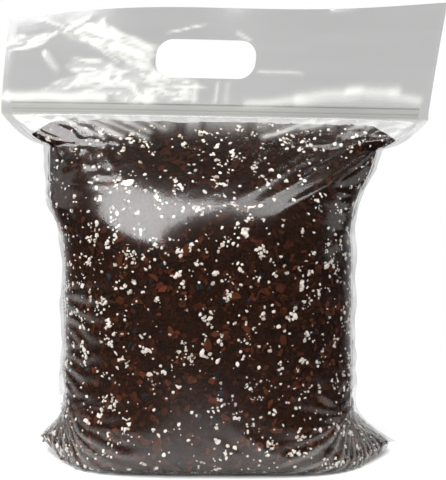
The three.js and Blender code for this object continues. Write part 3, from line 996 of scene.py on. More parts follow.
@dataclass(frozen=True)
class FilmFinish:
    """Clear LDPE film: it lets most light straight through, with a glossy reflection and haze.

    The mesh says at each point how much light one film lets through ("clear") and how milky it is,
    with painted highlight along the creases and just below the zip mixed into that milkiness. Where
    it is milky a white scattering surface is mixed in. The sheet has one layer of faces, so it
    reflects what both faces of real film do together, and alike from either side.

    Attributes:
        name: The real material's name.
        straight_on: The share of light that is reflected straight on.
        roughness: How far a reflection is blurred.
        haze_colour: The milky film's colour.
        haze_through: The share of the haze's light that comes out behind.
        lump_mm: How wide the film's small lumps are.
        crinkle_mm: How high they are.
    """

    name: str = "ldpe_film"
    straight_on: float = 0.067
    roughness: float = 0.2
    haze_colour: str = "e6e6e1"
    haze_through: float = 0.4
    lump_mm: float = 50 / 3
    crinkle_mm: float = 0.2

    def build(self) -> bpy.types.Material:
        """Builds the material.

        The reflected share is its value straight on, plus the rest times the fifth power of one
        minus the cosine of the angle.

        Returns:
            The film's material.
        """
        material, tree = new_material(self.name)
        place = add_node(tree, "ShaderNodeTexCoord").outputs["Object"]
        lumps = add_node(
            tree,
            "ShaderNodeTexNoise",
            {"Vector": place, "Scale": 1 / (self.lump_mm * MM), "Detail": 1.0, "Roughness": 0.5},
        ).outputs["Fac"]
        bump = add_node(
            tree,
            "ShaderNodeBump",
            {"Height": lumps, "Strength": 1.0, "Distance": self.crinkle_mm * MM},
        ).outputs["Normal"]
        through = add_node(tree, "ShaderNodeAttribute", settings={"attribute_name": "clear"})
        clear = add_node(tree, "ShaderNodeBsdfTransparent", {"Color": through.outputs["Color"]})
        gloss = add_node(
            tree,
            "ShaderNodeBsdfGlossy",
            {"Roughness": self.roughness, "Normal": bump},
        )
        edge_on = add_node(
            tree, "ShaderNodeLayerWeight", {"Blend": 0.5, "Normal": bump}
        ).outputs["Facing"]
        steep = add_node(
            tree, "ShaderNodeMath", {0: edge_on, 1: 5.0}, {"operation": "POWER"}
        ).outputs[0]
        share = add_node(
            tree,
            "ShaderNodeMath",
            {0: steep, 1: 1 - self.straight_on, 2: self.straight_on},
            {"operation": "MULTIPLY_ADD"},
        )
        sheet = add_node(
            tree,
            "ShaderNodeMixShader",
            {0: share.outputs[0], 1: clear.outputs[0], 2: gloss.outputs[0]},
        )
        pale = linear_colour(self.haze_colour)
        near = add_node(tree, "ShaderNodeBsdfDiffuse", {"Color": pale, "Normal": bump})
        far = add_node(tree, "ShaderNodeBsdfTranslucent", {"Color": pale})
        milk = add_node(
            tree,
            "ShaderNodeMixShader",
            {0: self.haze_through, 1: near.outputs[0], 2: far.outputs[0]},
        )
        # Milkiness, which along the creases and below the zip is partly painted highlight.
        haze_and_highlight = add_node(tree, "ShaderNodeAttribute", settings={"attribute_name": "haze_and_highlight"})
        mixed = add_node(
            tree,
            "ShaderNodeMixShader",
            {0: haze_and_highlight.outputs["Fac"], 1: sheet.outputs[0], 2: milk.outputs[0]},
        )
        add_node(tree, "ShaderNodeOutputMaterial", {"Surface": mixed.outputs[0]})
        return material


@dataclass(frozen=True)
class GrainFinish:
    """A rough grain: a colour picked for each grain along a ramp, mottled, with a fine bump.

    Attributes:
        name: The real material's name.
        ramp: Places and hex colours that a grain's tone picks from.
        roughness: How matt it is.
        mottle_mm: The mottle's size.
        mottle: How far the mottle moves the tone.
        bump_mm: How deep the bump is.
        stretch: How much finer the mottle is along X, Y and Z.
        specular: How strong its gloss is; 0.5 would be a smooth plastic's.
    """

    name: str
    ramp: tuple[tuple[float, str], ...]
    roughness: float
    mottle_mm: float
    mottle: float
    bump_mm: float
    stretch: tuple[float, float, float] = (1.0, 1.0, 1.0)
    specular: float = 0.04

    def build(self) -> bpy.types.Material:
        """Builds the material. The grain's tone plus a share of noise picks the ramp's colour.

        Returns:
            The grain's material.
        """
        material, tree = new_material(self.name)
        place = add_node(tree, "ShaderNodeTexCoord").outputs["Object"]
        scaled = add_node(
            tree, "ShaderNodeMapping", {"Vector": place, "Scale": self.stretch}
        ).outputs[0]
        noise = add_node(
            tree,
            "ShaderNodeTexNoise",
            {"Vector": scaled, "Scale": 1 / (self.mottle_mm * MM), "Detail": 4.0},
        ).outputs["Fac"]
        tone = add_node(tree, "ShaderNodeAttribute", settings={"attribute_name": "tone"})
        spread = add_node(
            tree,
            "ShaderNodeMath",
            {0: noise, 1: self.mottle, 2: -self.mottle / 2},
            {"operation": "MULTIPLY_ADD"},
        ).outputs[0]
        picked = add_node(
            tree,
            "ShaderNodeMath",
            {0: tone.outputs["Fac"], 1: spread},
            {"operation": "ADD"},
        ).outputs[0]
        colour = add_node(
            tree, "ShaderNodeValToRGB", {"Fac": picked}, ramp=list(self.ramp)
        ).outputs["Color"]
        bump = add_node(
            tree,
            "ShaderNodeBump",
            {"Height": noise, "Strength": 0.8, "Distance": self.bump_mm * MM},
        ).outputs["Normal"]
        surface = add_node(
            tree,
            "ShaderNodeBsdfPrincipled",
            {
                "Base Color": colour,
                "Roughness": self.roughness,
                "Specular IOR Level": self.specular,
                "Normal": bump,
            },
        )
        add_node(tree, "ShaderNodeOutputMaterial", {"Surface": surface.outputs[0]})
        return material


# Expanded perlite gives the eye chalky, matt, off-white grains with darker pores of 1.6 mm.
PERLITE = GrainFinish(
    "perlite", ((0.0, "e8e1d9"), (0.6, "dbd2c8"), (1.0, "ae9f8f")), 0.85, 1.6, 0.3, 0.35
)
# Composted pine bark gives it matt chips from near black to rust brown, with level streaks: the
# mottle is 2.2 mm wide, and less than half as high.
BARK = GrainFinish(
    "pine_bark",
    ((0.0, "180c06"), (0.3, "27140a"), (0.6, "381c0f"), (0.85, "482414"), (1.0, "5e301b")),
    0.8,
    2.2,
    0.45,
    0.5,
    (1.0, 1.0, 2.4),
)
# Horticultural charcoal gives it near black lumps with a faint blue cast, mottled at 2 mm.
CHARCOAL = GrainFinish(
    "charcoal", ((0.0, "121416"), (0.6, "1e2328"), (1.0, "2d343b")), 0.55, 2.0, 0.4, 0.4
)
# Peat and bark fines give it the dark, crumbly ground between the chips, in crumbs of 2.4 mm.
FINES = GrainFinish(
    "potting_mix",
    ((0.0, "140a05"), (0.35, "251208"), (0.6, "361b0e"), (0.8, "482614"), (1.0, "60361f")),
    0.95,
    2.4,
    1.3,
    1.4,
)


@dataclass(frozen=True)
class ZipFinish:
    """Milky LDPE of the zip strips, darker along lines of painted shade, read from an attribute of
    the mesh.

    Attributes:
        name: The real material's name.
        colour: The plastic's colour.
        shade_line_colour: Its colour along the lines of painted shade.
        roughness: How far its gloss is blurred.
        let_through: The share of light that comes out behind.
    """

    name: str = "zip_plastic"
    colour: str = "e2e2de"
    shade_line_colour: str = "a0a09c"
    roughness: float = 0.35
    let_through: float = 0.35

    def build(self) -> bpy.types.Material:
        """Builds the material: the two colours, mostly scattered back and partly let through.

        Returns:
            The zip's material.
        """
        material, tree = new_material(self.name)
        # Painted shade: the strip's colour darkens along the marked lines.
        painted_line_shade = add_node(tree, "ShaderNodeAttribute", settings={"attribute_name": "painted_line_shade"})
        colour = add_node(
            tree,
            "ShaderNodeValToRGB",
            {"Fac": painted_line_shade.outputs["Fac"]},
            ramp=[(0.0, self.colour), (1.0, self.shade_line_colour)],
        ).outputs["Color"]
        solid = add_node(
            tree, "ShaderNodeBsdfPrincipled", {"Base Color": colour, "Roughness": self.roughness}
        )
        glow = add_node(tree, "ShaderNodeBsdfTranslucent", {"Color": colour})
        mixed = add_node(
            tree,
            "ShaderNodeMixShader",
            {0: self.let_through, 1: solid.outputs[0], 2: glow.outputs[0]},
        )
        add_node(tree, "ShaderNodeOutputMaterial", {"Surface": mixed.outputs[0]})
        return material


@dataclass
class FilmBag:
    """The bag's film as one mesh: both films, joined at the fold and the welds, with its hole.

    Attributes:
        film: The relaxed sheet.
        finish: Its material.
        marks: The creases, crumples and folds left in it, whitened partly as painted highlight.
        clear_pouch: How much light one film of the pouch lets through.
        clear_header: The same at the foot of the header, where the two films lie together.
        header_fall: How much less it is at the header's top edge.
        header_streaks: How far level streaks in the header move it.
        steady_haze: How milky the film is everywhere.
        header_haze: How much milkier the header is.
        weld_haze: How much milkier the side welds are.
        gather_haze_and_highlight: How much milkier the gathers just below the zip are, partly as
            painted highlight.
        gather_reach: How far down they reach at the sides, and how much further in the middle.
        fin_foot: Between which lengths of film, from the fold, the fins start to turn, in mm.
        fin_top: Between which lengths below the zip they stop, in mm.
        fin_turn: How far they are turned, and how much that wanders, in radians.
    """

    film: RelaxedFilm
    finish: bpy.types.Material
    marks: tuple[FilmMark, ...]
    clear_pouch: float = 0.88
    clear_header: float = 0.767
    header_fall: float = 0.024
    header_streaks: float = 0.012
    steady_haze: float = 0.0015
    header_haze: float = 0.02
    weld_haze: float = 0.05
    gather_haze_and_highlight: float = 0.32
    gather_reach: tuple[float, float] = (7.0, 9.0)
    fin_foot: tuple[float, float] = (30.0, 70.0)
    fin_top: tuple[float, float] = (50.0, 15.0)
    fin_turn: tuple[float, float] = (0.75, 0.55)

    def _hole_distance(self, s: np.ndarray, t: np.ndarray) -> np.ndarray:
        """Distance outside the hand hole's rounded outline, negative inside it.

        The outline is a box without its corner circles, so beyond it the distance is that to the
        smaller box inside, less the corners' radius.

        Args:
            s: Places across the flat film.
            t: Places up it.

        Returns:
            Distances in mm.
        """
        z = self.film.shape.sizes
        middle = self.film.shape.pouch + z.zip_band / 2 + z.hole_middle[1]
        x = np.abs(s - z.hole_middle[0]) - (z.hole_half[0] - z.hole_radius)
        y = np.abs(t - middle) - (z.hole_half[1] - z.hole_radius)
        outside = np.hypot(np.maximum(x, 0), np.maximum(y, 0))
        return outside + np.minimum(np.maximum(x, y), 0) - z.hole_radius

    def _cut(self, s: np.ndarray, t: np.ndarray) -> tuple[np.ndarray, ...]:
        """Drops the cells inside the hole and draws the rest of its rim onto the outline.

        A rim point moves down the slope of the distance to the outline until it is on it.

        Args:
            s: Places across the flat film, rows by columns.
            t: Places up it.

        Returns:
            The places with the rim's moved, and which cells are kept.
        """
        distance = self._hole_distance(s, t)
        cell = (
            distance[:-1, :-1] + distance[1:, :-1] + distance[:-1, 1:] + distance[1:, 1:]
        ) / 4
        kept = cell > 0
        around = np.pad(kept, 1, constant_values=True)
        some = around[:-1, :-1] | around[1:, :-1] | around[:-1, 1:] | around[1:, 1:]
        every = around[:-1, :-1] & around[1:, :-1] & around[:-1, 1:] & around[1:, 1:]
        rim = some & ~every
        step, rounds = 0.1, 4
        for _ in range(rounds):
            here = self._hole_distance(s, t)
            slope_s = (self._hole_distance(s + step, t) - here) / step
            slope_t = (self._hole_distance(s, t + step) - here) / step
            s = np.where(rim, s - here * slope_s, s)
            t = np.where(rim, t - here * slope_t, t)
        return s, t, kept

    def _marks(self, s: np.ndarray, t: np.ndarray, side: Side) -> tuple[np.ndarray, ...]:
        """The sum of one film's marks.

        Args:
            s: Places across the flat film.
            t: Places up it.
            side: Which film.

        Returns:
            How far they stand out, in mm, and how white they are.
        """
        up = t - self.film.shape.pouch - self.film.shape.sizes.zip_band / 2
        height = np.zeros(s.shape)
        white = np.zeros(s.shape)
        for mark in self.marks:
            if mark.side is side:
                lift, pale = mark.relief(s, up)
                height += lift
                # Whiteness of the marks: stress whitening and painted highlight.
                white = 1 - (1 - white) * (1 - pale)
        return height, white

    def _haze_and_highlight(self, s: np.ndarray, t: np.ndarray, white: np.ndarray) -> np.ndarray:
        """How milky each point of the film is, from 0 to 1, with painted highlight counted in.

        Everywhere a little; more in the welds, in the gathers just below the zip, and where the
        film was creased. In the gathers and creases the whiteness is partly painted highlight. The
        gathers fade downwards as a bell, which reaches furthest in the middle.

        Args:
            s: Places across the flat film.
            t: Places up it.
            white: How white its creases are: partly stress whitening, partly painted highlight.

        Returns:
            The haze at each place.
        """
        shape = self.film.shape
        z = shape.sizes
        weld = smoothstep(np.abs(s), shape.half_flat - z.weld - 1, shape.half_flat)
        below = np.maximum(shape.pouch - t, 0)
        sides, more = self.gather_reach
        reach = sides + more * np.cos(np.pi * s / z.header_width) ** 2
        lines = value_noise(np.stack([s, 0.12 * t, 0 * s], -1), 5.0, 17, 2)
        streaks = 0.8 + 0.5 * lines
        # Painted highlight with some milkiness of the gathered film: a pale streaky band below the
        # zip.
        gathers = self.gather_haze_and_highlight * np.exp(-((below / reach) ** 2)) * streaks
        gathers = gathers * smoothstep(shape.pouch + 1 - t, 0, 4)
        header = self.header_haze * smoothstep(t, shape.pouch, shape.pouch + 6)
        steady = self.steady_haze + header + self.weld_haze * weld
        return clamp(1 - (1 - steady) * (1 - gathers) * (1 - white), 0, 0.9)

    def _bent_fins(self, s: np.ndarray, t: np.ndarray) -> np.ndarray:
        """How far the fins beside the pouch are bent out of line, as an offset for each point.

        Each fin is turned back about its root by an angle that wanders up the bag.

        Args:
            s: Places across the flat film.
            t: Places up it.

        Returns:
            Offsets in mm, with a last axis of 3.
        """
        shape = self.film.shape
        out = np.maximum(np.abs(s) - (shape.half_flat - shape.sizes.fin), 0)
        sense = np.sign(s)
        start, end = (shape.pouch - below for below in self.fin_top)
        free = smoothstep(t, *self.fin_foot) * (1 - smoothstep(t, start, end))
        wander = value_noise(np.stack([0 * t, 40 * sense, t], -1), 22.0, 31, 2)
        turn = free * (self.fin_turn[0] + self.fin_turn[1] * wander)
        return np.stack([-sense * out * (1 - np.cos(turn)), out * np.sin(turn), 0 * s], -1)

    def _sharpen_seams(self, mesh: bpy.types.Mesh, seam: np.ndarray) -> None:
        """Marks the edges between seam points sharp, so that each film keeps its own shading.

        Args:
            mesh: The film's mesh.
            seam: Whether each of its points is on the fold or a side edge.
        """
        ends = np.empty(2 * len(mesh.edges), dtype=np.int32)
        mesh.edges.foreach_get("vertices", ends)
        sharp = seam[ends.reshape(-1, 2)].all(1)
        layer = mesh.attributes.new("sharp_edge", "BOOLEAN", "EDGE")
        layer.data.foreach_set("value", sharp)

    def build(self) -> bpy.types.Object:
        """Builds the mesh of both films.

        Each film is the relaxed sheet plus its marks along the sheet's own outward direction. The
        two share their points along the fold and the side edges.

        Returns:
            The film's object.
        """
        film = self.film
        flat_s, flat_t = np.meshgrid(film.s, film.t)
        s, t, kept = self._cut(flat_s, flat_t)
        z = film.shape.sizes
        inside = 1 - smoothstep(np.abs(s), film.shape.half_flat - z.fin, film.shape.half_flat)
        pressed = np.exp(-(((t - film.shape.pouch - z.zip_band / 2) / z.zip_band) ** 4))
        free = inside * (1 - pressed) * smoothstep(t, 4, 12)
        grids, hazes_and_highlights = [], []
        for number, side in enumerate(Side):
            points = film.at(film.points[number], s, t)
            out = grid_normals(points, side)
            height, white = self._marks(s, t, side)
            grids.append(points + out * (height * free)[..., None] + self._bent_fins(s, t))
            hazes_and_highlights.append(self._haze_and_highlight(s, t, white))
        rows, columns = s.shape
        number = np.arange(rows * columns).reshape(rows, columns)
        back = number + rows * columns
        back[0] = number[0]
        back[:, 0] = number[:, 0]
        back[:, -1] = number[:, -1]
        faces = []
        for numbers, turned in ((number, False), (back, True)):
            faces.append(sheet_quads(numbers, turned)[kept])
        points = np.concatenate([grid.reshape(-1, 3) for grid in grids])
        haze_and_highlight = np.concatenate([one.ravel() for one in hazes_and_highlights])
        header = smoothstep(t, film.shape.pouch - 20, film.shape.pouch + 4)
        above = clamp((t - film.shape.pouch) / z.header_height)
        streaks = value_noise(np.stack([0.12 * s, t, 0 * s], -1), 9.0, 41, 2)
        header_clear = self.clear_header - self.header_fall * above + self.header_streaks * streaks
        clear = np.tile(lerp(self.clear_pouch, header_clear, header).ravel(), 2)
        uv = np.tile(np.stack([s, t], -1).reshape(-1, 2) * MM, (2, 1))
        seam = np.zeros(s.shape, dtype=bool)
        seam[0], seam[:, 0], seam[:, -1] = True, True, True
        seam = np.tile(seam.ravel(), 2)
        used, faces = np.unique(np.concatenate(faces), return_inverse=True)
        made = make_mesh(
            "bag_film",
            points[used],
            faces.reshape(-1, 4),
            True,
            {"haze_and_highlight": haze_and_highlight[used], "clear": clear[used]},
            uv[used],
        )
        self._sharpen_seams(made.data, seam[used])
        made.data.materials.append(self.finish)
        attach(made, "root")
        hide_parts("film_bag")
        return made


@dataclass
class ZipStrip:
    """One strip of the zip: the part's own section, swept between the two relaxed films.

    Attributes:
        film: The film that it follows.
        node: The part's node that it replaces.
        outline: Its section, as depth and height in mm.
        finish: Its material.
        painted_shade_lines: Height, half width and depth of tone of each line of painted shade.
    """

    film: RelaxedFilm
    node: str
    outline: tuple[tuple[float, float], ...]
    finish: bpy.types.Material
    painted_shade_lines: tuple[tuple[float, float, float], ...] = (
        (3.6, 0.5, 1.0),
        (-1.2, 0.5, 0.5),
        (-3.4, 0.4, 0.35),
    )

    def _finer_outline(self) -> np.ndarray:
        """The section with its two tall faces divided, so that the lines of painted shade have
        points.

        Returns:
            Rows of depth and height, in mm.
        """
        corners = np.array(self.outline)
        pieces = []
        for start, end in zip(corners, np.roll(corners, -1, axis=0)):
            steps = 24 if np.hypot(*(end - start)) > 8 else 1
            pieces.append(lerp(start, end, np.arange(steps)[:, None] / steps))
        return np.concatenate(pieces)

    def build(self) -> bpy.types.Object:
        """Builds the strip. Its rings stand on the mean of the films, along their own slope.

        Returns:
            The strip's object.
        """
        film = self.film
        z = film.shape.sizes
        inside = np.abs(film.s) <= film.shape.half_flat - z.fin
        s = film.s[inside]
        middle = film.shape.pouch + z.zip_band / 2
        mean = film.points.mean(0)
        place = film.at(mean, s, np.full(s.shape, middle))
        above = film.at(mean, s, np.full(s.shape, middle + 4))
        up = unit(above - place)
        along = unit(np.gradient(place, axis=0))
        out = unit(np.cross(up, along))
        section = self._finer_outline()
        rings = (
            place[:, None]
            + section[None, :, :1] * out[:, None]
            + section[None, :, 1:] * up[:, None]
        )
        count = len(section)
        number = np.arange(len(s) * count).reshape(len(s), count)
        nxt = np.roll(number, -1, axis=1)
        quads = np.stack([number[:-1], nxt[:-1], nxt[1:], number[1:]], -1).reshape(-1, 4)
        faces = quads.tolist() + [number[0][::-1].tolist(), number[-1].tolist()]
        # Painted shade: darker lines along the strip where the rib and hooks would shade it.
        painted_line_shade = np.zeros(count)
        for height, half, tone in self.painted_shade_lines:
            painted_line_shade += tone * np.exp(-(((section[:, 1] - height) / half) ** 2))
        made = make_mesh(
            self.node + "_strip",
            rings.reshape(-1, 3),
            faces,
            False,
            {"painted_line_shade": np.tile(painted_line_shade, len(s))},
        )
        made.data.materials.append(self.finish)
        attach(made, "root")
        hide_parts(self.node)
        return made


@dataclass(frozen=True)
class GrainKind:
    """A kind of grain in the mix.

    Attributes:
        name: The piece's name.
        slot: The record's material slot.
        count: How many.
        size: Smallest, usual and largest length, in mm.
        proportions: Width and thickness as shares of the length.
        depth: How far below the film its top lies, at most, in mm.
        clumps: How many clumps the grains gather in, or 0.
        rounded: True for a lump of 20 faces, False for a flat chip of 16.
        seed: Starts its random numbers.
    """

    name: str
    slot: str
    count: int
    size: tuple[float, float, float]
    proportions: tuple[float, float]
    depth: float
    clumps: int
    rounded: bool
    seed: int


def lump_faces() -> tuple[np.ndarray, np.ndarray]:
    """Corners and faces of a regular solid with twenty faces, of radius one.

    The corners are those of three golden rectangles set across each other.

    Returns:
        Corners by 3, and faces by 3 corner numbers.
    """
    g = (1 + 5**0.5) / 2
    corners = unit(
        np.array(
            [
                *[(-1, g, 0), (1, g, 0), (-1, -g, 0), (1, -g, 0)],
                *[(0, -1, g), (0, 1, g), (0, -1, -g), (0, 1, -g)],
                *[(g, 0, -1), (g, 0, 1), (-g, 0, -1), (-g, 0, 1)],
            ]
        )
    )
    faces = [
        *[(0, 11, 5), (0, 5, 1), (0, 1, 7), (0, 7, 10), (0, 10, 11)],
        *[(1, 5, 9), (5, 11, 4), (11, 10, 2), (10, 7, 6), (7, 1, 8)],
        *[(3, 9, 4), (3, 4, 2), (3, 2, 6), (3, 6, 8), (3, 8, 9)],
        *[(4, 9, 5), (2, 4, 11), (6, 2, 10), (8, 6, 7), (9, 8, 1)],
    ]
    return corners, np.array(faces)


def chip_faces() -> tuple[np.ndarray, np.ndarray]:
    """Corners and faces of a flat five-sided chip whose back is smaller than its face.

    Returns:
        Corners by 3, and faces by 3 corner numbers.
    """
    turn = np.arange(5) * 2 * math.pi / 5
    ring = np.stack([np.cos(turn), np.sin(turn)], -1)
    face = np.concatenate([ring, np.ones((5, 1))], 1)
    rear = np.concatenate([0.6 * ring, -np.ones((5, 1))], 1)
    corners = np.concatenate([face, rear])
    faces = [(0, 1, 2), (0, 2, 3), (0, 3, 4), (5, 7, 6), (5, 8, 7), (5, 9, 8)]
    for i in range(5):
        k = (i + 1) % 5
        faces += [(i, 5 + i, 5 + k), (i, 5 + k, k)]
    return corners, np.array(faces)


@dataclass
class Compost:
    """The fill: one dark mass, and each kind of grain as one mesh on it.

    Attributes:
        film: The film that holds it.
        kinds: The kinds of grain.
        finishes: Materials by slot.
        painted_top_shade: How much darker the mix is near the top, as a share of its tone: painted
            shade that dims the top where the lamps light it most.
        painted_shade_heights: The heights in mm between which the painted shade comes in.
        top_wave: How uneven the fill's top is: height and cell in mm.
        top_ends: Where its ends start to fall off, where they are lowest, and how far they fall.
        sink: How far the mass lies under the film, in mm, and how rough it is about that.
        rough_cell: The size of that roughness, in mm.
        floor_gap: How far the mass stays off the floor, in mm.
        skin: How far the grains stay inside the film and off the floor, in mm.
        foot: How far up the film the lowest grains lie, in mm.
        clumped: The share of a clumped grain kind that lies in the clumps.
        clump_reach: The least and greatest spread of a clump, in mm.
        uneven: How a grain's width and thickness vary, as shares of the usual.
        jitter: How far a grain's corners are moved, as a share of its size.
        lump_lean: How far lumps lean out of line with the film, as a slope.
        chip_lean: The same for chips.
    """

    film: RelaxedFilm
    kinds: tuple[GrainKind, ...]
    finishes: dict[str, bpy.types.Material]
    painted_top_shade: float = 0.4
    painted_shade_heights: tuple[float, float] = (150.0, 235.0)
    top_wave: tuple[float, float] = (1.6, 34.0)
    top_ends: tuple[float, float, float] = (122.0, 165.0, 20.0)
    sink: tuple[float, float] = (1.9, 1.1)
    rough_cell: float = 7.0
    floor_gap: float = 0.6
    skin: float = 0.5
    foot: float = 3.0
    clumped: float = 0.6
    clump_reach: tuple[float, float] = (0.8, 3.2)
    uneven: tuple[float, float] = (0.75, 1.25)
    jitter: float = 0.46
    lump_lean: float = 0.18
    chip_lean: float = 0.13

    def _top(self, s: np.ndarray) -> np.ndarray:
        """How far up the film the fill reaches: uneven, and lower at both ends.

        Args:
            s: Places across the flat film.

        Returns:
            Lengths of film from the fold, in mm.
        """
        shape = self.film.shape
        level = shape.sizes.zip_height - shape.sizes.headroom
        middle = np.interp(level, shape.profile[:, 1], shape.lengths)
        rise, cell = self.top_wave
        start, end, fall = self.top_ends
        uneven = value_noise(np.stack([s, 0 * s, 0 * s], -1), cell, 51, 2)
        return middle + rise * uneven - fall * smoothstep(np.abs(s), start, end)

    def _unshaded_share(self, height: np.ndarray) -> np.ndarray:
        """How pale the mix is at a height in mm: 1 low down, and less higher up, as painted shade.
        """
        return 1 - self.painted_top_shade * smoothstep(height, *self.painted_shade_heights)

    def build(self) -> list[bpy.types.Object]:
        """Builds the mass and the grains.

        Returns:
            Their objects, the mass first.
        """
        made = [self._mass()]
        made += [self._grains(kind) for kind in self.kinds]
        for piece in made:
            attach(piece, "root")
        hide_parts("compost")
        return made

    def _mass(self) -> bpy.types.Object:
        """The mass of fines: the fill's face, sunk and roughened, closed across its top.

        The lid across the top is quads, with a triangle at each end, where the two faces meet.

        Returns:
            The mass's object.
        """
        film = self.film
        inner = film.shape.half_flat - film.shape.sizes.fin
        across = film.s[np.abs(film.s) <= inner]
        rows = int((film.t <= self._top(across).max()).sum())
        s = np.broadcast_to(across, (rows, len(across)))
        t = np.linspace(0, 1, rows)[:, None] * self._top(across)[None, :]
        sheets = []
        for number, side in enumerate(Side):
            face = film.at(film.fill[number], s, t)
            out = film.at(film.out[number], s, t)
            rough = value_noise(face, self.rough_cell, 11, 3)
            edge = 1 - smoothstep(np.abs(across), inner - 12, inner)
            sink = (self.sink[0] + self.sink[1] * rough) * (0.25 + 0.75 * edge[None, :])
            sunk = face - out * sink[..., None]
            sunk[..., 2] = np.maximum(sunk[..., 2], self.floor_gap)
            sheets.append(sunk)
        mean = (sheets[0] + sheets[1]) / 2
        for sheet in sheets:
            sheet[0] = mean[0] + [0, 0, 0.3]
            sheet[:, 0] = mean[:, 0]
            sheet[:, -1] = mean[:, -1]
        number = np.arange(s.size).reshape(s.shape)
        back = number + s.size
        back[0], back[:, 0], back[:, -1] = number[0], number[:, 0], number[:, -1]
        lid = np.stack([number[-1, :-1], number[-1, 1:], back[-1, 1:], back[-1, :-1]], -1)
        walls = [sheet_quads(number, False), sheet_quads(back, True), lid[1:-1]]
        corners = [wall.ravel() for wall in walls] + [lid[0, :3], lid[-1, [0, 1, 3]]]
        used, packed = np.unique(np.concatenate(corners), return_inverse=True)
        faces = packed[:-6].reshape(-1, 4).tolist() + packed[-6:].reshape(-1, 3).tolist()
        points = np.concatenate([sheet.reshape(-1, 3) for sheet in sheets])[used]
        # Painted shade: the mass's tone falls towards the top.
        tone = 0.3 - 0.4 * (1 - self._unshaded_share(points[:, 2]))
        made = make_mesh("compost_mass", points, faces, True, {"tone": tone})
        made.data.materials.append(self.finishes["potting_mix"])
        return made

    def _places(self, kind: GrainKind, rng: np.random.Generator) -> tuple[np.ndarray, ...]:
        """Random places on the film: even over its true area, or round the centres of clumps.

        Args:
            kind: The kind of grain.
            rng: Its random numbers.

        Returns:
            Which film, and the places across and up it, one a grain.
        """
        film = self.film
        shape = film.shape
        reach = shape.half_flat - shape.sizes.fin - 2
        across = np.diff(film.fill, axis=2)[:, :-1]
        up = np.diff(film.fill, axis=1)[:, :, :-1]
        area = np.linalg.norm(np.cross(across, up), axis=-1)
        area = area * (np.abs(film.s[:-1]) < reach)
        up_film = film.t[:-1, None]
        filled = (up_film > self.foot) & (up_film < self._top(film.s[:-1]) - self.foot)
        area = area * filled[None]
        chance = (area / area.sum()).ravel()

        def draw(count: int) -> tuple[np.ndarray, ...]:
            """Draws cells by their area, and a place in each.

            Args:
                count: How many.

            Returns:
                Which film, and the places across and up it.
            """
            side, row, column = np.unravel_index(
                rng.choice(chance.size, count, p=chance), area.shape
            )
            s = film.s[column] + rng.random(count) * (film.s[1] - film.s[0])
            t = film.t[row] + rng.random(count) * (film.t[1] - film.t[0])
            return side, s, t

        number, s, t = draw(kind.count)
        if kind.clumps:
            gathered = rng.random(kind.count) < self.clumped
            pick = rng.integers(0, kind.clumps, kind.count)
            centre_side, centre_s, centre_t = (values[pick] for values in draw(kind.clumps))
            spread = rng.uniform(*self.clump_reach, kind.clumps)[pick]
            s = np.where(gathered, centre_s + spread * rng.normal(size=kind.count), s)
            t = np.where(gathered, centre_t + spread * rng.normal(size=kind.count), t)
            number = np.where(gathered, centre_side, number)
        s = np.clip(s, -reach, reach)
        return number, s, np.clip(t, self.foot, self._top(s) - 1)

    def _grains(self, kind: GrainKind) -> bpy.types.Object:
        """All grains of one kind as one mesh.

        Each is the same solid, stretched, with its corners moved at random, turned to lie along
        the film and set back from it by up to the kind's depth.

        Args:
            kind: The kind of grain.

        Returns:
            The grains' object.
        """
        rng = np.random.default_rng(kind.seed)
        corners, faces = lump_faces() if kind.rounded else chip_faces()
        number, s, t = self._places(kind, rng)
        film = self.film
        place = np.zeros((kind.count, 3))
        out = np.zeros((kind.count, 3))
        for side in (0, 1):
            here = number == side
            place[here] = film.at(film.fill[side], s[here], t[here])
            out[here] = film.at(film.out[side], s[here], t[here])
        out = unit(out)
        low, usual, high = kind.size
        length = rng.triangular(low, usual, high, kind.count)
        stretch = np.stack(
            [
                length / 2,
                length / 2 * kind.proportions[0] * rng.uniform(*self.uneven, kind.count),
                length / 2 * kind.proportions[1] * rng.uniform(*self.uneven, kind.count),
            ],
            -1,
        )
        jitter = 1 + self.jitter * rng.uniform(-1, 1, (kind.count, len(corners), 3))
        local = corners[None] * jitter * stretch[:, None]
        lean = self.lump_lean if kind.rounded else self.chip_lean
        tilt = unit(out + lean * rng.normal(size=out.shape))
        spin = unit(np.cross(tilt, rng.normal(size=out.shape)))
        third = np.cross(tilt, spin)
        turned = (
            local[..., :1] * spin[:, None]
            + local[..., 1:2] * third[:, None]
            + local[..., 2:] * tilt[:, None]
        )
        top = (turned * out[:, None]).sum(-1).max(1)
        sink = self.skin + kind.depth * rng.random(kind.count) ** 1.5
        points = place[:, None] + turned - (out * (top + sink)[:, None])[:, None]
        points[..., 2] = np.maximum(points[..., 2], self.skin)
        all_faces = faces[None] + (np.arange(kind.count) * len(corners))[:, None, None]
        tone = rng.random(kind.count)
        # Painted shade: bark and charcoal grains are darker towards the top.
        if kind.slot != "perlite":
            tone = tone * self._unshaded_share(place[:, 2])
        tone = np.repeat(tone, len(corners))
        made = make_mesh(
            kind.name,
            points.reshape(-1, 3),
            all_faces.reshape(-1, 3),
            False,
            {"tone": tone},
        )
        made.data.materials.append(self.finishes[kind.slot])
        return made


@dataclass(frozen=True)
class SoftBox:
    """A rectangular lamp aimed at the bag: its bearing and height in degrees, and its size."""

    name: str
    azimuth: float
    elevation: float
    distance: float
    width: float
    height: float
    watts: float

    def build(self, target: Vector) -> None:
        """Places the lamp on a sphere round the target and turns it to face it.

        Args:
            target: The point that it is aimed at, in metres.
        """
        lamp = bpy.data.lights.new(self.name, "AREA")
        lamp.shape = "RECTANGLE"
        lamp.size = self.width
        lamp.size_y = self.height
        lamp.energy = self.watts
        made = bpy.data.objects.new(self.name, lamp)
        a, e = math.radians(self.azimuth), math.radians(self.elevation)
        away = Vector((math.sin(a) * math.cos(e), -math.cos(a) * math.cos(e), math.sin(e)))
        made.location = target + self.distance * away
        made.rotation_euler = away.to_track_quat("Z", "Y").to_euler()
        bpy.context.scene.collection.objects.link(made)


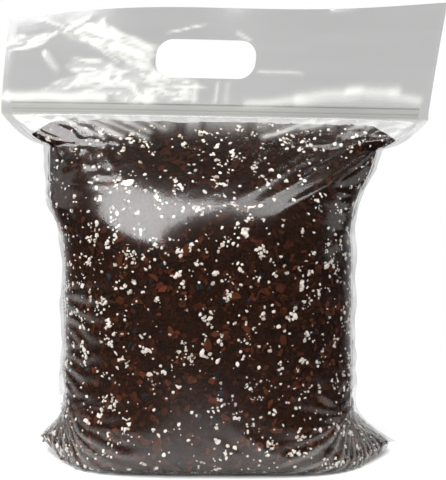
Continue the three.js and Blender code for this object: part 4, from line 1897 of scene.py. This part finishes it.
@dataclass(frozen=True)
class Studio:
    """Floor, lamps, surroundings and camera, in metres.

    Attributes:
        lamps: The soft boxes.
        lamp_target: The height that they are aimed at.
        floor_radius: The pale disc's radius.
        floor_near: Where the disc starts to fade out.
        floor_drop: How far the disc lies below the bag.
        floor_colour: Its colour.
        surround: The even light from all round.
        room: How bright the room is in gloss.
        backdrop: The Y of a direction where the white backdrop starts, and where it is full.
        distance: From the camera to its aim.
        elevation: The camera's height angle, in degrees.
        aim: What the camera looks at.
        frame_height: The photograph's height in pixels.
        pixels_deep: The lens's distance from its picture, in pixels of that frame.
    """

    lamps: tuple[SoftBox, ...]
    lamp_target: float = 0.17
    floor_radius: float = 0.36
    floor_near: float = 0.14
    floor_drop: float = 0.0002
    floor_colour: str = "e8e8e8"
    surround: float = 0.84
    room: float = 0.03
    backdrop: tuple[float, float] = (0.55, 0.95)
    distance: float = 1.3
    elevation: float = 7.5
    aim: tuple[float, float, float] = (0.0, 0.0, 0.176)
    frame_height: float = 480.0
    pixels_deep: float = 1597.0

    def build(self) -> None:
        """Builds the studio round the bag."""
        self._floor()
        self._world()
        for lamp in self.lamps:
            lamp.build(Vector((0, 0, self.lamp_target)))
        self._camera()
        bpy.context.scene.view_settings.view_transform = "Standard"

    def _floor(self) -> None:
        """A pale disc that fades out towards its rim, so that no horizon shows."""
        bpy.ops.mesh.primitive_circle_add(vertices=96, radius=self.floor_radius, fill_type="NGON")
        floor = bpy.context.object
        floor.name = "studio_floor"
        floor.location.z = -self.floor_drop
        material, tree = new_material("pale_floor")
        place = add_node(tree, "ShaderNodeTexCoord").outputs["Object"]
        radius = add_node(
            tree, "ShaderNodeVectorMath", {0: place}, {"operation": "LENGTH"}
        ).outputs["Value"]
        fade = add_node(
            tree,
            "ShaderNodeMapRange",
            {"Value": radius, "From Min": self.floor_near, "From Max": self.floor_radius * 0.95},
            {"interpolation_type": "SMOOTHSTEP"},
        ).outputs[0]
        colour = linear_colour(self.floor_colour)
        pale = add_node(tree, "ShaderNodeBsdfDiffuse", {"Color": colour})
        clear = add_node(tree, "ShaderNodeBsdfTransparent")
        mixed = add_node(
            tree, "ShaderNodeMixShader", {0: fade, 1: pale.outputs[0], 2: clear.outputs[0]}
        )
        add_node(tree, "ShaderNodeOutputMaterial", {"Surface": mixed.outputs[0]})
        floor.data.materials.append(material)

    def _world(self) -> None:
        """A white backdrop behind the bag and a dim room in front of it.

        What the camera sees directly is white all round. Gloss and clear film show the backdrop
        where it stands, its share growing with the Y of the direction, and the room elsewhere. The
        world isn't sampled as a lamp, because a lamp's rays don't say whether they are glossy.
        """
        world = bpy.data.worlds.new("studio")
        world.use_nodes = True
        tree = world.node_tree
        tree.nodes.clear()
        path = add_node(tree, "ShaderNodeLightPath").outputs
        ahead = add_node(
            tree,
            "ShaderNodeSeparateXYZ",
            {0: add_node(tree, "ShaderNodeTexCoord").outputs["Generated"]},
        ).outputs["Y"]
        behind = add_node(
            tree,
            "ShaderNodeMapRange",
            {"Value": ahead, "From Min": self.backdrop[0], "From Max": self.backdrop[1]},
        ).outputs[0]
        shown = add_node(
            tree,
            "ShaderNodeMath",
            {0: path["Is Glossy Ray"], 1: path["Is Transmission Ray"]},
            {"operation": "MAXIMUM"},
        ).outputs[0]
        backdrop = add_node(
            tree, "ShaderNodeMath", {0: shown, 1: behind}, {"operation": "MULTIPLY"}
        ).outputs[0]
        white = add_node(
            tree,
            "ShaderNodeMath",
            {0: path["Is Camera Ray"], 1: backdrop},
            {"operation": "MAXIMUM"},
        ).outputs[0]
        room = add_node(
            tree,
            "ShaderNodeMapRange",
            {"Value": shown, "To Min": self.surround, "To Max": self.room},
        ).outputs[0]
        strength = add_node(
            tree, "ShaderNodeMapRange", {"Value": white, "To Min": room, "To Max": 1.0}
        ).outputs[0]
        back = add_node(tree, "ShaderNodeBackground", {"Strength": strength})
        back.inputs["Color"].default_value = (1, 1, 1, 1)
        add_node(tree, "ShaderNodeOutputWorld", {"Surface": back.outputs[0]})
        world.cycles.sampling_method = "NONE"
        bpy.context.scene.world = world

    def _camera(self) -> None:
        """The camera: its lens is the picture distance in pixels over the frame's long side."""
        data = bpy.data.cameras.new("camera")
        data.lens = data.sensor_width * self.pixels_deep / self.frame_height
        camera = bpy.data.objects.new("camera", data)
        e = math.radians(self.elevation)
        back = Vector((0, -math.cos(e), math.sin(e)))
        camera.location = Vector(self.aim) + self.distance * back
        camera.rotation_euler = back.to_track_quat("Z", "Y").to_euler()
        bpy.context.scene.collection.objects.link(camera)
        bpy.context.scene.camera = camera


def zip_outlines(sizes: BagSizes) -> dict[str, tuple[tuple[float, float], ...]]:
    """The sections of the two zip strips, as (depth, height) pairs in mm, as in the part.

    The rib is a flange with a stem and a rounded head. The groove is a flange with two hooked
    lips that close round the head.

    Args:
        sizes: The bag's sizes.

    Returns:
        An outline for each node.
    """
    half, band = 1.4, sizes.zip_band / 2
    stem, head, tip, clear = 0.3, 0.8, 0.4, 0.3
    flange, lip, deep, hook = 0.3, 0.4, 0.7, 0.5
    inner = -half + flange
    neck = inner + lip + 2 * clear
    end = neck + deep
    lip_front = inner + clear
    lip_back = lip_front + lip
    lip_edge = stem + clear
    hook_in = head + clear
    hook_out = hook_in + hook
    back_in = half - flange
    rib = [(-half, band), (-half, -band), (inner, -band), (inner, -stem), (neck, -stem)]
    rib += [(neck, -head), (end, -tip), (end, tip), (neck, head), (neck, stem)]
    rib += [(inner, stem), (inner, band)]
    groove = [(half, -band), (half, band), (back_in, band), (back_in, hook_out)]
    groove += [(lip_front, hook_out), (lip_front, lip_edge), (lip_back, lip_edge)]
    groove += [(lip_back, hook_in), (back_in, hook_in), (back_in, -hook_in)]
    groove += [(lip_back, -hook_in), (lip_back, -lip_edge), (lip_front, -lip_edge)]
    groove += [(lip_front, -hook_out), (back_in, -hook_out), (back_in, -band)]
    return {"zip_rib": tuple(rib), "zip_groove": tuple(groove)}


GRAINS = (
    GrainKind("bark_chips", "pine_bark", 12000, (2.0, 4.4, 12.0), (0.6, 0.3), 1.9, 0, False, 21),
    GrainKind("perlite_grains", "perlite", 6800, (0.8, 1.4, 5.4), (0.8, 0.65), 0.8, 640, True, 22),
    GrainKind("charcoal_grains", "charcoal", 520, (3.0, 5.0, 11.0), (0.8, 0.6), 1.2, 0, True, 23),
)

# Header marks. Their whiteness is partly stress whitening, partly painted highlight.
HEADER_MARKS = (
    Crumple((-155, 57), (20, 9), 8, 0.7, 0.62, 7.0, 2),
    Crumple((-105, 62), (30, 8), -8, 0.6, 0.4, 6.0, 8),
    Crumple((-84, 53), (42, 10), -20, 0.8, 0.55, 6.0, 5),
    Crumple((-116, 20), (30, 7), 10, 0.7, 0.62, 6.0, 3),
    Crumple((-62, 19), (50, 16), 0, 0.8, 0.74, 5.0, 4),
    Crumple((-100, 34), (26, 8), -10, 0.7, 0.62, 6.0, 6),
    Crumple((-70, 40), (22, 7), -28, 0.6, 0.5, 6.0, 9),
    Crease((-174, 9), (-85, 9), 0.8, 4.0, 0.7),
    Crease((-150, 78), (-117, 64), 1.1, 1.0, 0.4),
    Crease((-120, 66), (-78, 34), 1.1, 1.2, 0.45),
    Crease((-103, 76), (-128, 64), 1.1, 1.0, 0.4),
    Crease((-128, 65), (-146, 54), 1.0, 0.9, 0.35),
    Crease((-142, 50), (-128, 28), 1.1, 2.2, 0.35),
    Crease((-115, 60), (-60, 38), 0.9, 1.2, 0.4),
    Crease((-112, 63), (-50, 46), 0.9, 1.1, 0.4),
    Crease((-96, 74), (-92, 62), 0.9, 1.4, 0.35),
    Crease((-47, 61), (-11, 68), 0.7, 0.8, 0.55),
    Crease((10, 64), (26, 54), 0.7, 1.6, 0.4),
    Crease((28, 32), (70, 30), 0.5, 1.2, 0.4),
    Crease((-18, 24), (-17, 2), 0.8, 2.4, 0.5),
    Crease((0, 25), (-1, 2), 0.8, 1.3, 0.42),
    Crease((8, 25), (9, 2), 0.6, 2.2, 0.2),
    Crease((20, 4), (75, 10), 0.6, 3.6, 0.42),
    Crease((60, 9), (120, 16), 0.8, 4.6, 0.6),
    Crease((100, 15), (150, 15), 0.8, 4.8, 0.6),
    Crease((135, 15), (168, 8), 0.7, 3.4, 0.5),
    Crease((80, 80), (105, 81), 1.5, 1.6, 0.3),
)

# Pouch marks. Their whiteness is partly stress whitening, partly painted highlight.
POUCH_MARKS = (
    Crease((-132, -7), (-86, -36), 0.5, 2.4, 0.36),
    Crease((-116, -6), (-70, -34), 0.5, 3.0, 0.34),
    Crease((-100, -6), (-50, -36), 0.5, 2.4, 0.32),
    Crease((-82, -6), (-48, -28), 0.4, 2.6, 0.28),
    Crease((-62, -6), (-36, -24), 0.4, 2.2, 0.24),
    Crease((84, -7), (36, -32), 0.5, 2.8, 0.4),
    Crease((104, -6), (66, -20), 0.4, 2.6, 0.32),
    Crease((134, -6), (104, -22), 0.4, 2.6, 0.3),
    FoldFan((-152, -40), 55, 125, 6, 5, 34, 1.6, 0.4, 3),
    FoldFan((152, -40), 60, 130, 4, 5, 34, 1.8, 0.4, 4),
    FoldFan((150, -272), 193, 283, 14, 10, 135, 2.2, 0.5, 5),
    FoldFan((-150, -272), -103, -12, 11, 10, 120, 1.8, 0.34, 6),
    FoldFan((-190, -188), -22, 10, 4, 15, 122, 1.5, 0.34, 7),
    FoldFan((-190, -232), -26, 8, 4, 15, 116, 1.4, 0.32, 8),
    FoldFan((-168, -275), -40, 15, 5, 4, 60, 0.9, 0.14, 9),
    FoldFan((168, -235), 150, 215, 6, 4, 40, 0.8, 0.1, 10),
    FoldFan((163, -305), 185, 285, 16, 8, 90, 0.9, 0.16, 11, Side.BACK),
    FoldFan((-163, -305), -105, -5, 18, 8, 90, 0.9, 0.16, 12, Side.BACK),
    FoldFan((-168, -225), -40, 25, 7, 4, 50, 0.9, 0.14, 13, Side.BACK),
    FoldFan((168, -255), 150, 215, 7, 4, 50, 0.9, 0.14, 14, Side.BACK),
    Crease((-118, -6), (-74, -34), 1.0, 2.0, 0.3, Side.BACK),
    Crease((-92, -6), (-48, -30), 0.9, 1.8, 0.26, Side.BACK),
    Crease((122, -6), (76, -34), 1.0, 2.0, 0.3, Side.BACK),
    Crease((90, -6), (40, -32), 0.9, 1.8, 0.28, Side.BACK),
    Crease((60, -6), (30, -24), 0.8, 1.6, 0.2, Side.BACK),
)

LAMPS = (
    SoftBox("key_left", -40, 49, 1.5, 0.95, 1.85, 48),
    SoftBox("front_right", 42, 60, 1.5, 0.6, 0.7, 7),
    SoftBox("side_left", -105, 20, 1.5, 0.9, 1.2, 3),
    SoftBox("side_right", 100, 20, 1.5, 0.9, 1.2, 4),
    SoftBox("rear", 180, 32, 1.5, 1.4, 0.7, 6),
)


def main() -> None:
    """Builds the bag, its fill and the studio round them."""
    logging.basicConfig(level=logging.INFO, format="%(message)s")
    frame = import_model()

    sizes = BagSizes()
    film = RelaxedFilm(BagShape(sizes))
    film.relax()

    film_finish = FilmFinish().build()
    zip_finish = ZipFinish().build()
    grain_finishes = {finish.name: finish.build() for finish in (PERLITE, BARK, CHARCOAL, FINES)}

    FilmBag(film, film_finish, HEADER_MARKS + POUCH_MARKS).build()
    for node, outline in zip_outlines(sizes).items():
        ZipStrip(film, node, outline, zip_finish).build()
    Compost(film, GRAINS, grain_finishes).build()
    slots = {"perlite": "perlite", "bark": "pine_bark", "charcoal": "charcoal"}
    for name, node in frame["nodes"].items():
        kind = slots.get(name.split("_")[0])
        if kind:
            node.data.materials.clear()
            node.data.materials.append(grain_finishes[kind])

    Studio(LAMPS).build()


if __name__ == "__main__":
    main()
